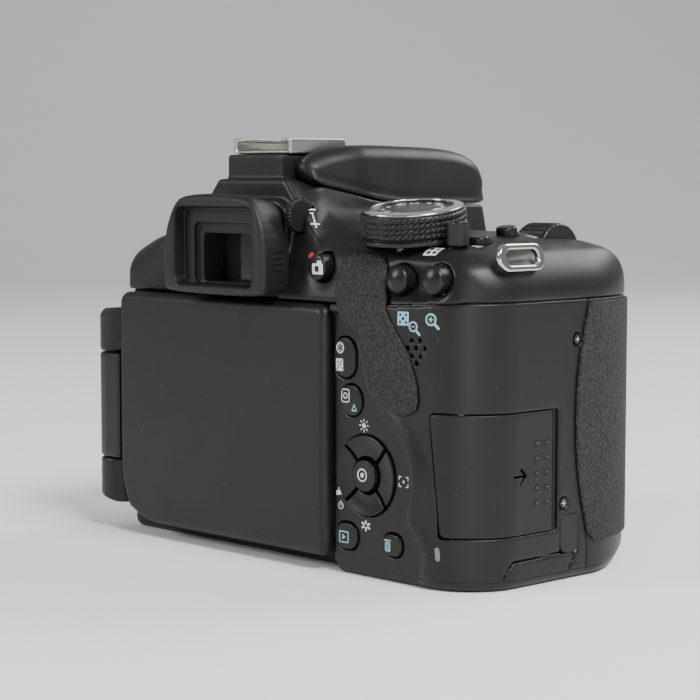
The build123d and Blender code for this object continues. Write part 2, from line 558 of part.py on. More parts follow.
cross_x, cross_z = CROSS_AT
for name, turn in (("cross_key_right", 180), ("cross_key_down", 90), ("cross_key_left", 0), ("cross_key_up", 270)):
    with BuildPart() as cross_key:
        with BuildSketch(Plane(origin=(cross_x, BACK + 1.2, cross_z), x_dir=(1, 0, 0), z_dir=(0, -1, 0))) as key:
            Circle(CROSS_R)
            Circle(SET_R + 0.5, mode=Mode.SUBTRACT)
            with Locations(Rotation(0, 0, turn)):
                wedge(0.3, mode=Mode.INTERSECT)
        extrude(key.sketch, amount=6, dir=(0, -1, 0))
        fillet(cross_key.faces().sort_by(Axis.Y)[-1].edges(), 0.35)
    save(cross_key, name)

with BuildPart() as set_button:
    peg((cross_x, BACK + 1.3, cross_z), SET_R, 6.3, (0, -1, 0))
    fillet(set_button.faces().sort_by(Axis.Y)[-1].edges(), 0.4)
save(set_button, "set_button")

# ---- Monitor -----------------------------------------------------------------------------------------
with BuildPart() as monitor_back_shell:
    raise_monitor(MONITOR_Y[0] + 2, MONITOR_Y[1])
    fillet(monitor_back_shell.faces().sort_by(Axis.Y)[-1].edges(), 1.6)
    span(
        (MONITOR_X[0] + 1.5, MONITOR_X[1] - 6), (MONITOR_Y[0], MONITOR_Y[1] - 1.5),
        (MONITOR_Z[0] + 1.5, MONITOR_Z[1] - 1.5), mode=Mode.SUBTRACT,
    )
save(monitor_back_shell, "monitor_back_shell")

with BuildPart() as monitor_bezel:
    raise_monitor(MONITOR_Y[0], MONITOR_Y[0] + 2 - FIT)
    span((-28.5, 35.5), (20, 40), (10.5, 55), mode=Mode.SUBTRACT)
save(monitor_bezel, "monitor_bezel")

with BuildPart() as monitor_screen:
    span((-28.4, 35.4), (MONITOR_Y[0] + 0.3, MONITOR_Y[0] + 4), (10.6, 54.9))
save(monitor_screen, "monitor_screen")

with BuildPart() as monitor_arm:
    peg((HINGE_X, HINGE_Y, KNUCKLE_Z[1] + GAP), HINGE_R, KNUCKLE_Z[2] - KNUCKLE_Z[1] - 2 * GAP, (0, 0, 1))
    span((MONITOR_X[1] + FIT, HINGE_X), (26.0, 31.6), (KNUCKLE_Z[1] + GAP, KNUCKLE_Z[2] - GAP))
    peg((HINGE_X, HINGE_Y, 0), 1.8, 90, (0, 0, 1), mode=Mode.SUBTRACT)
save(monitor_arm, "monitor_arm")

with BuildPart() as hinge_base:
    for low, high in (KNUCKLE_Z[:2], KNUCKLE_Z[2:]):
        peg((HINGE_X, HINGE_Y, low), HINGE_R, high - low, (0, 0, 1))
    peg((HINGE_X, HINGE_Y, KNUCKLE_Z[0]), 1.5, KNUCKLE_Z[3] - KNUCKLE_Z[0], (0, 0, 1))
save(hinge_base, "hinge_base")

# ---- Fittings ------------------------------------------------------------------------------------------
with BuildPart() as strap_lugs:
    for x, y, z, side in LUGS:
        with BuildSketch(Plane(origin=(x, y, z), x_dir=(0, 1, 0), z_dir=(side, 0, 0))) as lug:
            RectangleRounded(LUG[1], LUG[2], 2)
            RectangleRounded(LUG[1] - 3.6, LUG[2] - 3.2, 1, mode=Mode.SUBTRACT)
        extrude(lug.sketch, amount=LUG[0], dir=(side, 0, 0))
save(strap_lugs, "strap_lugs")

SCREWS = [Plane(origin=(GRIP_SIDE + 0.1, y, z), z_dir=(-1, 0, 0)) for y, z in ((-0.6, 17.6), (-4.8, 54.2))]
SCREWS += [Plane(origin=plane.origin - plane.z_dir * 0.3, z_dir=plane.z_dir) for plane in MOUNT_SCREWS]
with BuildPart() as screws:
    for plane in SCREWS:
        peg(plane.origin + plane.z_dir * -1.2, 1.2, 1.2, plane.z_dir)
save(screws, "screws")
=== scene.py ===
"""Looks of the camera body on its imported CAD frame.

Fields are in millimetres, and Blender's meshes in metres.
"""
import math

import bpy
import numpy as np
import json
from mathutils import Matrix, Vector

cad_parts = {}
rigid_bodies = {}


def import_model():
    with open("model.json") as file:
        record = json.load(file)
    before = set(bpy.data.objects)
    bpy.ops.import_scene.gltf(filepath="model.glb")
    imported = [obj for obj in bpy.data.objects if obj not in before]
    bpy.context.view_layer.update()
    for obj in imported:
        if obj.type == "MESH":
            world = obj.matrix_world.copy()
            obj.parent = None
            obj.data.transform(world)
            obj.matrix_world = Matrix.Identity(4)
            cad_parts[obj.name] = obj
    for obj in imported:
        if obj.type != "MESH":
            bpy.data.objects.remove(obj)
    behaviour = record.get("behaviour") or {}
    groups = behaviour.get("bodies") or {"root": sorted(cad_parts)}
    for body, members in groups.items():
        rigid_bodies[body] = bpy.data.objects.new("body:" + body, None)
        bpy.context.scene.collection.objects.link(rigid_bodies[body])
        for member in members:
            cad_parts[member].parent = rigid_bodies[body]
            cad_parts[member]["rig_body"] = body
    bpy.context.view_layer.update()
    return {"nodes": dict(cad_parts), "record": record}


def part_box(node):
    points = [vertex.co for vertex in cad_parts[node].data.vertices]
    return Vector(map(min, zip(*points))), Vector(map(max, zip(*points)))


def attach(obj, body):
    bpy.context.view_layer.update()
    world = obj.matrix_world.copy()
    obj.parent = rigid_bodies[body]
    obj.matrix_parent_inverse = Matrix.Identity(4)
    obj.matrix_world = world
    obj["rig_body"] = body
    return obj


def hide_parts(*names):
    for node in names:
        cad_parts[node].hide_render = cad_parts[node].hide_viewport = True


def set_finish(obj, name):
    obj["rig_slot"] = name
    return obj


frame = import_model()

import openvdb as vdb
from mathutils import Matrix, Vector

EYE = np.array((-374.91, 350.11, 91.11))  # where the fitted view is taken from, in mm
MM = 0.001
VOXEL = 0.42

# ---- Sizes shared with the frame, in mm ----
GRIP_SIDE, HINGE_SIDE = -76.4, 50.0
BACK, RECESS, FRONT, GRIP_FRONT = 29.5, 24.0, -21.0, -41.1
GRIP_INNER = -47.0
RECESS_EDGE = -33  # X where the monitor's recess ends
HINGE_X, HINGE_Y = 50.6, 26  # the monitor's upright axis
BASE_SEAM, SPLIT = 2.2, -8.5
WALL = 2.0
LENS_Z = 39.0
DECK_Z, SHOULDER_Z = 79.5, 77.0
PLINTH_Z = 95.6
EYE_Z = 71.6


def corner(node):
    """Lowest and highest corner of a CAD node in mm."""
    low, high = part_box(node)
    return np.array(low) / MM, np.array(high) / MM


def middle(node):
    low, high = corner(node)
    return (low + high) / 2


# ---- Field tools ----
def rmax(a, b, r):
    """Both of two fields, with a round edge where their surfaces meet."""
    return np.minimum(np.maximum(a, b), -r) + np.hypot(np.maximum(a + r, 0), np.maximum(b + r, 0))


def rmin(a, b, r):
    """Either of two fields, with a fillet where their surfaces meet."""
    return -rmax(-a, -b, r)


def cut(a, b, r=0.25):
    """The first field less the second, with the edge eased."""
    return rmax(a, -b, r)


def box_field(p, low, high, r=0.0):
    q = [np.abs(c - (lo + hi) / 2) - (hi - lo) / 2 + r for c, lo, hi in zip(p, low, high)]
    out = np.sqrt(sum(np.maximum(c, 0) ** 2 for c in q))
    return out + np.minimum(np.maximum(np.maximum(q[0], q[1]), q[2]), 0) - r


def rod_field(p, foot, axis, radius, length):
    """A cylinder from a point along an axis."""
    axis = np.array(axis, float) / np.linalg.norm(axis)
    q = [c - f for c, f in zip(p, foot)]
    along = sum(c * a for c, a in zip(q, axis))
    away = np.sqrt(np.maximum(sum(c * c for c in q) - along ** 2, 0)) - radius
    return np.maximum(away, np.abs(along - length / 2) - length / 2)


def capsule_field(p, a, b, radius):
    a, b = np.array(a, float), np.array(b, float)
    q = [c - f for c, f in zip(p, a)]
    d = b - a
    t = np.clip(sum(c * e for c, e in zip(q, d)) / (d @ d), 0, 1)
    return np.sqrt(sum((c - e * t) ** 2 for c, e in zip(q, d))) - radius


def pill_field(p, x, z, width, height, radius):
    """A rounded rectangle on the back, as an endless prism along Y."""
    qx = np.abs(p[0] - x) - width / 2 + radius
    qz = np.abs(p[2] - z) - height / 2 + radius
    return np.hypot(np.maximum(qx, 0), np.maximum(qz, 0)) + np.minimum(np.maximum(qx, qz), 0) - radius


def outline_field(u, v, points):
    """Signed distance to a closed outline in a plane."""
    best, inside = None, False
    for (ax, ay), (bx, by) in zip(points, points[1:] + points[:1]):
        ex, ey = bx - ax, by - ay
        t = np.clip(((u - ax) * ex + (v - ay) * ey) / (ex * ex + ey * ey), 0, 1)
        d = (u - ax - ex * t) ** 2 + (v - ay - ey * t) ** 2
        best = d if best is None else np.minimum(best, d)
        crosses = ((ay > v) != (by > v)) & (u < ex * (v - ay) / (by - ay + 1e-12) + ax)
        inside = inside ^ crosses
    return np.sqrt(best) * np.where(inside, -1, 1)


def smooth_outline(points, rounds=2):
    """An outline with its corners cut round."""
    for _ in range(rounds):
        ring = []
        for (ax, ay), (bx, by) in zip(points, points[1:] + points[:1]):
            ring.append((0.75 * ax + 0.25 * bx, 0.75 * ay + 0.25 * by))
            ring.append((0.25 * ax + 0.75 * bx, 0.25 * ay + 0.75 * by))
        points = ring
    return points


def add_piece(name, points, faces, body=None):
    """A smooth mesh in metres, riding on a body of the frame if one is named."""
    mesh = bpy.data.meshes.new(name)
    mesh.from_pydata(points, [], faces)
    mesh.update()
    mesh.shade_smooth()
    piece = bpy.data.objects.new(name, mesh)
    bpy.context.scene.collection.objects.link(piece)
    if body:
        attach(piece, body)
    return piece


def polygons(values, width):
    """Points and faces where an array of distances is zero, in steps of the array."""
    grid = vdb.FloatGrid(width)
    grid.copyFromArray(np.ascontiguousarray(values.astype(np.float32)))
    points, triangles, quads = grid.convertToPolygons(0.0, 0.0)
    return points, quads.tolist() + triangles.tolist()


def axes(low, counts, voxel):
    """The three coordinates of a block of grid points, ready to broadcast."""
    shapes = ((-1, 1, 1), (1, -1, 1), (1, 1, -1))
    return [(low[i] + voxel * np.arange(counts[i], dtype=np.float32)).reshape(shapes[i]) for i in range(3)]


def mesh_field(name, field, low, high, voxel, body):
    """A closed mesh where the field is zero, between two corners in mm."""
    low = np.array(low, float) - 2 * voxel
    counts = np.ceil((np.array(high, float) + 2 * voxel - low) / voxel).astype(int) + 1
    values = np.broadcast_to(field(axes(low, counts, voxel)), counts).astype(np.float32)
    points, faces = polygons(np.clip(values, -3 * voxel, 3 * voxel), 3 * voxel)
    return add_piece(name, ((points * voxel + low) * MM).tolist(), faces, body)


# ---- The body's form ----
DIAL_AT = np.array((-47.2, 17.6, 76.3))
DECK_NORMAL = np.array((-0.061, 0.148, 0.987))
DECK_NORMAL /= np.linalg.norm(DECK_NORMAL)


def front_edge(x, y):
    return rmin(FRONT - y, x - GRIP_INNER, 4)


def side_plan(x, y, rear):
    """The outline seen from above, closed at the back by a given field."""
    front = front_edge(x, y)
    walls = [
        rmax(front, x - HINGE_SIDE, 7),
        rmax(front, GRIP_FRONT - y, 8),
        rmax(GRIP_SIDE - x, GRIP_FRONT - y, 31),
        rmax(x - HINGE_SIDE, rear, 4),
        rmax(GRIP_SIDE - x, rear, 15),
    ]
    return np.maximum.reduce(np.broadcast_arrays(*walls))


def lower_form(p, step=RECESS_EDGE):
    """The body below the top seam, as one solid, with the monitor's recess beyond the step in X."""
    x, y, z = p
    rear = rmax(rmin(y - RECESS, x - step, 0.8), y - BACK, 1.5)
    form = side_plan(x, y, rear)
    grip_foot = 3.4 * np.clip((-14 - y) / 12, 0, 1) * np.clip((-34 - x) / 12, 0, 1)
    form = rmax(form, -z, 2.4 + grip_foot)
    # The thumb rest swells out of the back.
    swell = np.sqrt(((x + 47) / 15) ** 2 + ((y - 24.5) / 6.6) ** 2 + ((z - 56) / 22) ** 2) - 1
    return rmin(form, np.maximum(swell * 6, RECESS - y), 3.0)


def inset_plan(p, depth):
    """The body's outline seen from above, moved inwards."""
    return side_plan(p[0], p[1], p[1] - BACK) + depth + 0 * p[2]


def seam_height(x):
    """The top seam rises a little round the grip."""
    return 61.7 + 1.5 * np.clip((-48 - x) / 24, 0, 1)


# Y and Z of the flash head's foot, and of the saddle under its arms
HEAD_SEAM = ((-23, -5, 5, 12.5, 18.6, 21.5), (83.5, 83.7, 85.1, 87.1, 88.5, 89.0))
SADDLE = ((5, 12.5, 18.5, 22), (85.2, 87.2, 88.5, 89.8))


def waist(y):
    """How far the finder housing and the flash head narrow towards the back."""
    step = np.clip((y - 4) / 16, 0, 1)
    return 3.2 * step * step * (3 - 2 * step)


def crown_form(p):
    """The body above the top seam: decks, shoulder and finder housing."""
    x, y, z = p
    lean = (y - BACK) * 0.97 + np.maximum(z - 63, 0) * 0.22
    rear = rmax(rmin(y - RECESS - 1.6, x + 13, 3), lean, 1.5)
    plan = side_plan(x, y, rear)
    nx, ny, nz = DECK_NORMAL
    dial = nx * (x - DIAL_AT[0]) + ny * (y - DIAL_AT[1]) + nz * (z - DIAL_AT[2])
    deck = rmax(dial, z - DECK_Z, 1.0)
    deck = rmax(deck, z - 78.6 - 0.09 * y, 3.0)
    deck = rmax(deck, 0.857 * (z - DECK_Z - 0.6 * (x + 62)), 4.0)
    deck = rmax(deck, 0.894 * (z - 77.4 - 0.5 * (y + 18)), 2.5)
    shoulder = rmax(z - SHOULDER_Z, 0.912 * (z - SHOULDER_Z + 0.45 * (x - 36)), 3.0)
    top = np.where(x < 0, deck, shoulder)
    form = rmax(plan, top, 5.5)
    taper = waist(y) * np.clip((z - 78) / 9, 0, 1)
    side = 0.975 * (np.abs(x) - 25.5 + 0.23 * (z - 62) + taper)
    brow = rmax(rmin(FRONT - y, 74 - z, 3), -35.0 - y, 3)
    housing = rmax(side, z - np.interp(y, *HEAD_SEAM) + 0.12, 0.4)
    rear = rmax(y - 27 + 0.09 * (z - 62), 0.7 * (z - 86.2 + y - 22), 4)
    housing = rmax(rmax(housing, brow, 2.5), rear, 3)
    fillet = 1.0 + 7.0 * np.clip((25 - y) / 7, 0, 1)
    form = rmin(form, housing, fillet)
    saddle = rmax(0.76 * (np.abs(x) - 14.5 + 0.85 * (z - 87)), z - np.interp(y, *SADDLE), 0.5)
    form = rmin(form, np.maximum(rmax(saddle, y - 25.6, 1), 5 - y), 1.5)
    plinth = box_field(p, (-9.7, 3.0, 80), (9.7, 24.5, PLINTH_Z), 0.6)
    form = rmin(form, plinth, 0.6)
    eyepiece = rmax(pill_field(p, 0, 74.2, 31, 21.4, 5), y - 28.1, 0.4)
    return rmin(form, np.maximum(eyepiece, 20 - y), 0.8)


KNOB_FACE = -18.7  # the diopter knob's outer end in X, 1.5 mm inside its CAD form
REAR_KEYS = ("exposure_button", "quick_button", "playback_button", "erase_button")
CROSS = middle("set_button")
CROSS_R = 9.2


def control_area(p):
    """The outline of the area that holds the monitor-side keys."""
    x, _, z = p
    ring = np.hypot(x - CROSS[0], z - CROSS[2]) - 14.6
    flat = np.zeros_like(x)
    upper = capsule_field((x, flat, z), (-34.6, 0, 52.0), (-38.0, 0, 38), 7.6)
    lower = capsule_field((x, flat, z), (-34.0, 0, 34), (-36.0, 0, 8), 9.0)
    foot = capsule_field((x, flat, z), (-36.0, 0, 6), (-52.0, 0, 5), 9.0)
    return rmin(rmin(ring, upper, 7), rmin(lower, foot, 6), 4)


def dished(form, p):
    """Sinks the key area a little and raises a soft ridge round its grip side."""
    x, y, z = p
    area = control_area(p)
    crest = 2.3 * np.clip((z - 4) / 14, 0.3, 1)
    ridge = np.hypot(area - 2.1, y - BACK + 0.9) - crest
    form = rmin(form, np.maximum(np.maximum(ridge, x - RECESS_EDGE), 7 - z), 1.6)
    return cut(form, rmax(area, (BACK - 0.5) - y, 0.8), 1.2)


def with_holes(form, p, nodes, room=0.25, depth=9.0):
    """Pockets on the back that fit the keys."""
    for node in nodes:
        low, high = corner(node)
        x, z = (low[0] + high[0]) / 2, (low[2] + high[2]) / 2
        width, height = high[0] - low[0] + 2 * room, high[2] - low[2] + 2 * room
        hole = pill_field(p, x, z, width, height, min(width, height) / 2 - 0.1)
        form = cut(form, np.maximum(hole, low[1] - depth + 6 - p[1]), 0.3)
    return form


def hollow(form, skin, wall=WALL):
    """Takes out what lies deeper than the wall."""
    return np.maximum(form, -(skin + wall))


DOOR = corner("card_door")
DOOR_FRONT = DOOR[0][1]


def door_region(p, room=0.0):
    """Where the card door is, grown by room."""
    x, y, z = p
    edge = -63.2 - 0.10 * (39.0 - z)
    sides = rmax((x - edge), np.abs(z - (DOOR[0][2] + DOOR[1][2]) / 2) - (DOOR[1][2] - DOOR[0][2]) / 2, 1.2)
    return np.maximum(sides, DOOR_FRONT - y) - room


SCREWS = ((-0.6, 17.6), (-4.8, 54.2))  # Y and Z of the two side screws
DOOR_PANEL = ((19.4, 0), (18.2, 3.6), (16.0, 6.3), (-3.6, 6.5), (-4.5, 5.6), (-2.8, 3.0), (-2.2, 0))
TERMINAL = corner("terminal_cover")
FLAP = corner("dc_cord_flap")


def side_groove(form, p, start, end, radius, depth):
    """A groove on the grip side between two points given as Y and Z."""
    line = capsule_field((np.zeros_like(p[0]), p[1], p[2]), (0, *start), (0, *end), radius)
    return cut(form, np.maximum(line, p[0] - depth), 0.2)


def rear_field(p):
    """The back shell, with its recesses for keys, door, hinge and flaps."""
    x, y, z = p
    form = dished(lower_form(p, 0), p)
    form = rmax(form, rmin(y - RECESS, x + 32.75, 0.5), 0.4)
    skin = form
    region = np.maximum(BASE_SEAM - 0.15 - z, z - seam_height(x) + 0.06)
    form = rmax(form, np.maximum(region, SPLIT + 0.06 - y), 0.25)
    form = hollow(form, np.maximum(skin, x - 43))
    form = np.maximum(form, BASE_SEAM - 0.1 - z)
    form = with_holes(form, p, REAR_KEYS)
    form = cut(form, np.maximum(np.hypot(x - CROSS[0], z - CROSS[2]) - CROSS_R - 0.12, 22 - y), 0.25)
    form = cut(form, door_region(p, 0.09), 0.1)
    low, high = (-90, DOOR_FRONT - 2.0, DOOR[0][2]), (GRIP_SIDE + 1.3, DOOR_FRONT + 0.2, DOOR[1][2])
    form = cut(form, box_field(p, low, high, 0.3), 0.3)
    low, high = corner("card_hinge")
    form = cut(form, box_field(p, low - (0.5, 1, 0.2), high + (0.15, 2.6, 0.2), 0.3), 0.15)
    form = cut(form, rod_field(p, (HINGE_X, HINGE_Y, 8.0), (0, 0, 1), 5.75, 48.2), 0.4)
    form = cut(form, box_field(p, TERMINAL[0] - 0.15, TERMINAL[1] + (9, 0.15, 0.15), 1.9), 0.3)
    form = cut(form, box_field(p, FLAP[0] - (9, 0.12, 0.12), FLAP[1] + (0.12, 0.12, 0.12), 1.0), 0.2)
    for sy, sz in SCREWS:
        form = cut(form, rod_field(p, (GRIP_SIDE - 1, sy, sz), (1, 0, 0), 1.5, 2.3), 0.25)
    for start, end in zip(DOOR_PANEL, DOOR_PANEL[1:]):
        form = side_groove(form, p, start, end, 0.2, -60)
    return cut(form, speaker_field(p), 0.1)


SPEAKER = [(-59.7 + dx, 52.3 + dz) for dx, dz in (
    (-1.0, 2.6), (1.2, 2.5), (-2.4, 0.9), (0.1, 0.9), (2.4, 0.8), (-1.1, -0.9), (1.2, -0.9), (0.0, -2.5),
)]


def speaker_field(p):
    """The small holes of the speaker."""
    holes = [np.hypot(p[0] - x, p[2] - z) - 0.52 for x, z in SPEAKER]
    return np.maximum(np.minimum.reduce(holes), BACK - 4 - p[1])


def front_field(p):
    """The front shell, with the mount's boss and the holes for its keys."""
    x, y, z = p
    form = lower_form(p)
    boss = rmax(np.hypot(x, z - LENS_Z) - 36, -27.05 - y, 0.8)
    form = rmin(form, rmax(boss, y, 1), 1.6)
    pad = rmax(np.hypot(x - 42.0, z - LENS_Z) - 7.6, -23.2 - y, 1.0)
    form = rmin(form, np.maximum(pad, y), 2.0)
    skin = form
    region = np.maximum(np.maximum(BASE_SEAM - 0.15 - z, z - seam_height(x) + 0.06), y - SPLIT + 0.06)
    form = np.maximum(hollow(rmax(form, region, 0.25), skin), BASE_SEAM - 0.1 - z)
    form = cut(form, rod_field(p, (0, FRONT + 12, LENS_Z), (0, -1, 0), 29.0, 40), 0.2)
    low, high = corner("battery_door")
    pin = rod_field(p, (low[0] - 0.5, low[1] + 1.2, 1.2), (1, 0, 0), 2.4, high[0] - low[0] + 1)
    form = cut(form, pin, 0.2)
    for node, radius in (("lens_release_button", 5.3), ("depth_preview_button", 3.3), ("flash_button", 3.5)):
        at = middle(node)
        form = cut(form, rod_field(p, (at[0], FRONT + 8, at[2]), (0, -1, 0), radius, 24), 0.3)
    return form


def deck_point(x, y):
    """The point of the top deck at a place seen from above."""
    nx, ny, nz = DECK_NORMAL
    z = DIAL_AT[2] - (nx * (x - DIAL_AT[0]) + ny * (y - DIAL_AT[1])) / nz
    return np.array((x, y, min(z, DECK_Z)))


LEVER, DISPLAY, ISO = deck_point(-62.4, 19.4), deck_point(-62.0, 12.4), deck_point(-59.8, 0.8)
SHUTTER = np.array((-58.0, -29.0, 71.7))
SHUTTER_NORMAL = np.array((0, -0.5, 1)) / math.hypot(0.5, 1)
WHEEL = middle("main_dial")
DOMES = ("ae_lock_button", "af_point_button")


def top_field(p):
    """The top shell, with the finder housing and the seats of dials and keys."""
    x, y, z = p
    form = crown_form(p)
    left, right = middle(DOMES[0]), middle(DOMES[1])
    pod = capsule_field(p, (left[0] + 0.6, 32.0, 68.2), (right[0] - 0.2, 32.0, 68.4), 5.6)
    form = cut(form, pod, 1.4)
    live = middle("live_view_button")
    form = cut(form, capsule_field(p, (live[0], 33.4, live[2]), (live[0], 33.5, live[2]), 6.2), 1.2)
    form = cut(form, rod_field(p, DIAL_AT + DECK_NORMAL * 0.1, DECK_NORMAL, 13.6, 20), 0.8)
    form = cut(form, rod_field(p, LEVER + DECK_NORMAL * 0.1, DECK_NORMAL, 4.2, 20), 0.6)
    for at in (DISPLAY, ISO):
        form = cut(form, rod_field(p, at - DECK_NORMAL * 0.5, DECK_NORMAL, 3.3, 20), 0.6)
    form = cut(form, rod_field(p, SHUTTER - SHUTTER_NORMAL * 0.8, SHUTTER_NORMAL, 8.0, 20), 1.0)
    skin = form
    form = rmax(form, seam_height(x) + 0.06 - z, 0.35)
    form = hollow(form, skin)
    form = cut(form, pill_field(p, 0, EYE_Z, 19, 13, 3) + np.maximum(10 - y, 0), 0.2)
    for node in DOMES + ("live_view_button",):
        at = middle(node)
        form = cut(form, np.maximum(np.hypot(x - at[0], z - at[2]) - 3.45, 18 - y), 0.25)
    for at, radius in ((DISPLAY, 2.65), (ISO, 2.65), (LEVER, 1.9)):
        form = cut(form, rod_field(p, at - DECK_NORMAL * 6, DECK_NORMAL, radius, 12), 0.2)
    form = cut(form, rod_field(p, SHUTTER - SHUTTER_NORMAL * 6, SHUTTER_NORMAL, 5.9, 12), 0.3)
    low, high = corner("main_dial")
    well = rod_field(p, (low[0] - 0.35, WHEEL[1], WHEEL[2]), (1, 0, 0), 7.5, high[0] - low[0] + 0.7)
    form = cut(form, well, 0.5)
    low, high = corner("diopter_knob")
    reach = high[0] - KNOB_FACE + 0.6
    form = cut(form, rod_field(p, (KNOB_FACE - 0.3, 26.0, 81.4), (1, 0, 0), 4.3, reach), 0.3)
    for node in ("menu_button", "info_button"):
        at = middle(node)
        across = 0.912 * (x - at[0]) - 0.410 * (z - at[2])
        hole = pill_field((across, y, y - at[1]), 0, 0, 7.3, 4.1, 1.8)
        form = cut(form, np.maximum(hole, at[2] - 6 - z), 0.2)
    for (lx, ly, lz), side in (((-73.0, 13.2, 74.0), -1), ((49.6, 6.0, 66.5), 1)):
        near, far = sorted((lx, lx + 12 * side))
        pocket = box_field(p, (near, ly - 6.7, lz - 3.2), (far, ly + 6.7, lz + 3.2), 2.0)
        form = cut(form, pocket, 0.6)
    return form


def base_field(p):
    """The bottom plate, with the tripod boss and the battery's opening."""
    z = p[2]
    skin = dished(lower_form(p), p)
    form = np.maximum(skin + 0.1 * (z > BASE_SEAM - 0.3), z - BASE_SEAM - 0.5)
    form = rmin(form, rod_field(p, (0, 0, 1), (0, 0, 1), 11, 6), 0.3)
    form = cut(form, rod_field(p, (0, 0, -1), (0, 0, 1), 6.1, 12), 0.2)
    low, high = corner("battery_door")
    bay = box_field(p, (low[0] - 0.25, -33.9, -2), (high[0] + 0.25, high[1] + 0.25, 5), 1.0)
    return cut(form, np.maximum(bay, inset_plan(p, 4.2)), 0.2)


def door_field(p):
    """The card door, with its grip studs and the engraved arrow."""
    form = dished(lower_form(p), p)
    skin = form
    form = hollow(rmax(form, door_region(p, -0.06), 0.3), skin)
    for row in range(5):
        for column in (5.3, 8.6):
            at = (GRIP_SIDE - 0.1, column, 18.4 + 3.3 * row)
            form = rmin(form, capsule_field(p, at, (at[0] + 1, at[1], at[2]), 0.55), 0.3)
    for turn in (-1, 1):
        form = side_groove(form, p, (12.2, 25), (12.2 + 1.6, 25 + 1.6 * turn), 0.28, -70)
    return side_groove(form, p, (12.6, 25), (16.0, 25), 0.2, -70)


# ---- Finishes ----
def colour(sockets, name):
    """The colour socket of a mix node that has a name."""
    return next(s for s in sockets if s.type == "RGBA" and s.name == name)


def finish(name, color, rough, relief, metal=0.0, grain=0.35, tint=0.2, coat=0.0, dust=0.0, pebbles=0.0):
    """A material with fine grain, slow blotches, a little dust and, for rubber, a pebbled relief with
    painted shade in the grooves between the pebbles.
    """
    material = bpy.data.materials.new(name)
    material.use_nodes = True
    tree = material.node_tree
    tree.nodes.clear()

    def node(kind, **values):
        made = tree.nodes.new(kind)
        for key, value in values.items():
            if hasattr(made, key):
                setattr(made, key, value)
            else:
                made.inputs[key.replace("_", " ")].default_value = value
        return made

    def feed(socket, given):
        """Sets a socket, or joins it to another node's output."""
        if isinstance(given, bpy.types.NodeSocket):
            tree.links.new(given, socket)
        else:
            socket.default_value = given

    def texture(kind, **values):
        made = node(kind, **values)
        feed(made.inputs["Vector"], where)
        return made

    def reckon(operation, *values):
        made = node("ShaderNodeMath", operation=operation)
        for socket, given in zip(made.inputs, values):
            feed(socket, given)
        return made.outputs[0]

    def ramp(given, low, high, to_low, to_high):
        made = node("ShaderNodeMapRange", From_Min=low, From_Max=high, To_Min=to_low, To_Max=to_high)
        feed(made.inputs["Value"], given)
        return made.outputs[0]

    def mix(share, a, b):
        made = node("ShaderNodeMix", data_type="RGBA")
        feed(made.inputs[0], share)
        feed(colour(made.inputs, "A"), a)
        feed(colour(made.inputs, "B"), b)
        return colour(made.outputs, "Result")

    shader = node("ShaderNodeBsdfPrincipled", Metallic=metal, Coat_Weight=coat, Coat_Roughness=0.08)
    shader.inputs["Specular IOR Level"].default_value = 0.5 if metal or color[0] > 0.1 else 0.32
    feed(node("ShaderNodeOutputMaterial").inputs["Surface"], shader.outputs[0])
    where = node("ShaderNodeTexCoord").outputs["Object"]
    fine = texture("ShaderNodeTexNoise", Scale=1 / (grain * MM), Detail=3.0, Roughness=0.6).outputs[0]
    slow = texture("ShaderNodeTexNoise", Scale=90.0, Detail=5.0, Roughness=0.62).outputs[0]
    dark = tuple(c * (1 - tint) for c in color) + (1,)
    light = tuple(min(1, c * (1 + tint)) for c in color) + (1,)
    tone = mix(reckon("MULTIPLY_ADD", fine, 0.5, reckon("MULTIPLY", slow, 0.5)), dark, light)
    if dust:
        specks = texture("ShaderNodeTexVoronoi", Scale=420.0, Randomness=1.0).outputs["Distance"]
        shown = reckon("MULTIPLY", ramp(specks, 0.10, 0.04, 0.0, dust), reckon("GREATER_THAN", slow, 0.53))
        tone = mix(shown, tone, (0.16, 0.155, 0.14, 1))
    height, depth = fine, relief
    if pebbles:
        cells = texture("ShaderNodeTexVoronoi", feature="SMOOTH_F1", Scale=1 / (pebbles * MM),
                        Smoothness=0.35, Randomness=1.0).outputs["Distance"]
        height = reckon("MULTIPLY_ADD", cells, -1.0, reckon("MULTIPLY", fine, 0.25))
        depth = relief * 9
        # Painted shade: the grooves between the pebbles are darkened in the base colour.
        tone = mix(ramp(cells, 0.3, 0.62, 0.0, 0.85), tone, tuple(c * 0.3 for c in color) + (1,))
    feed(shader.inputs["Base Color"], tone)
    feed(shader.inputs["Roughness"], ramp(slow, 0.3, 0.7, max(0.03, rough - 0.06), min(1, rough + 0.07)))
    bump = node("ShaderNodeBump", Strength=0.6, Distance=depth * MM)
    feed(bump.inputs["Height"], height)
    feed(shader.inputs["Normal"], bump.outputs[0])
    return material


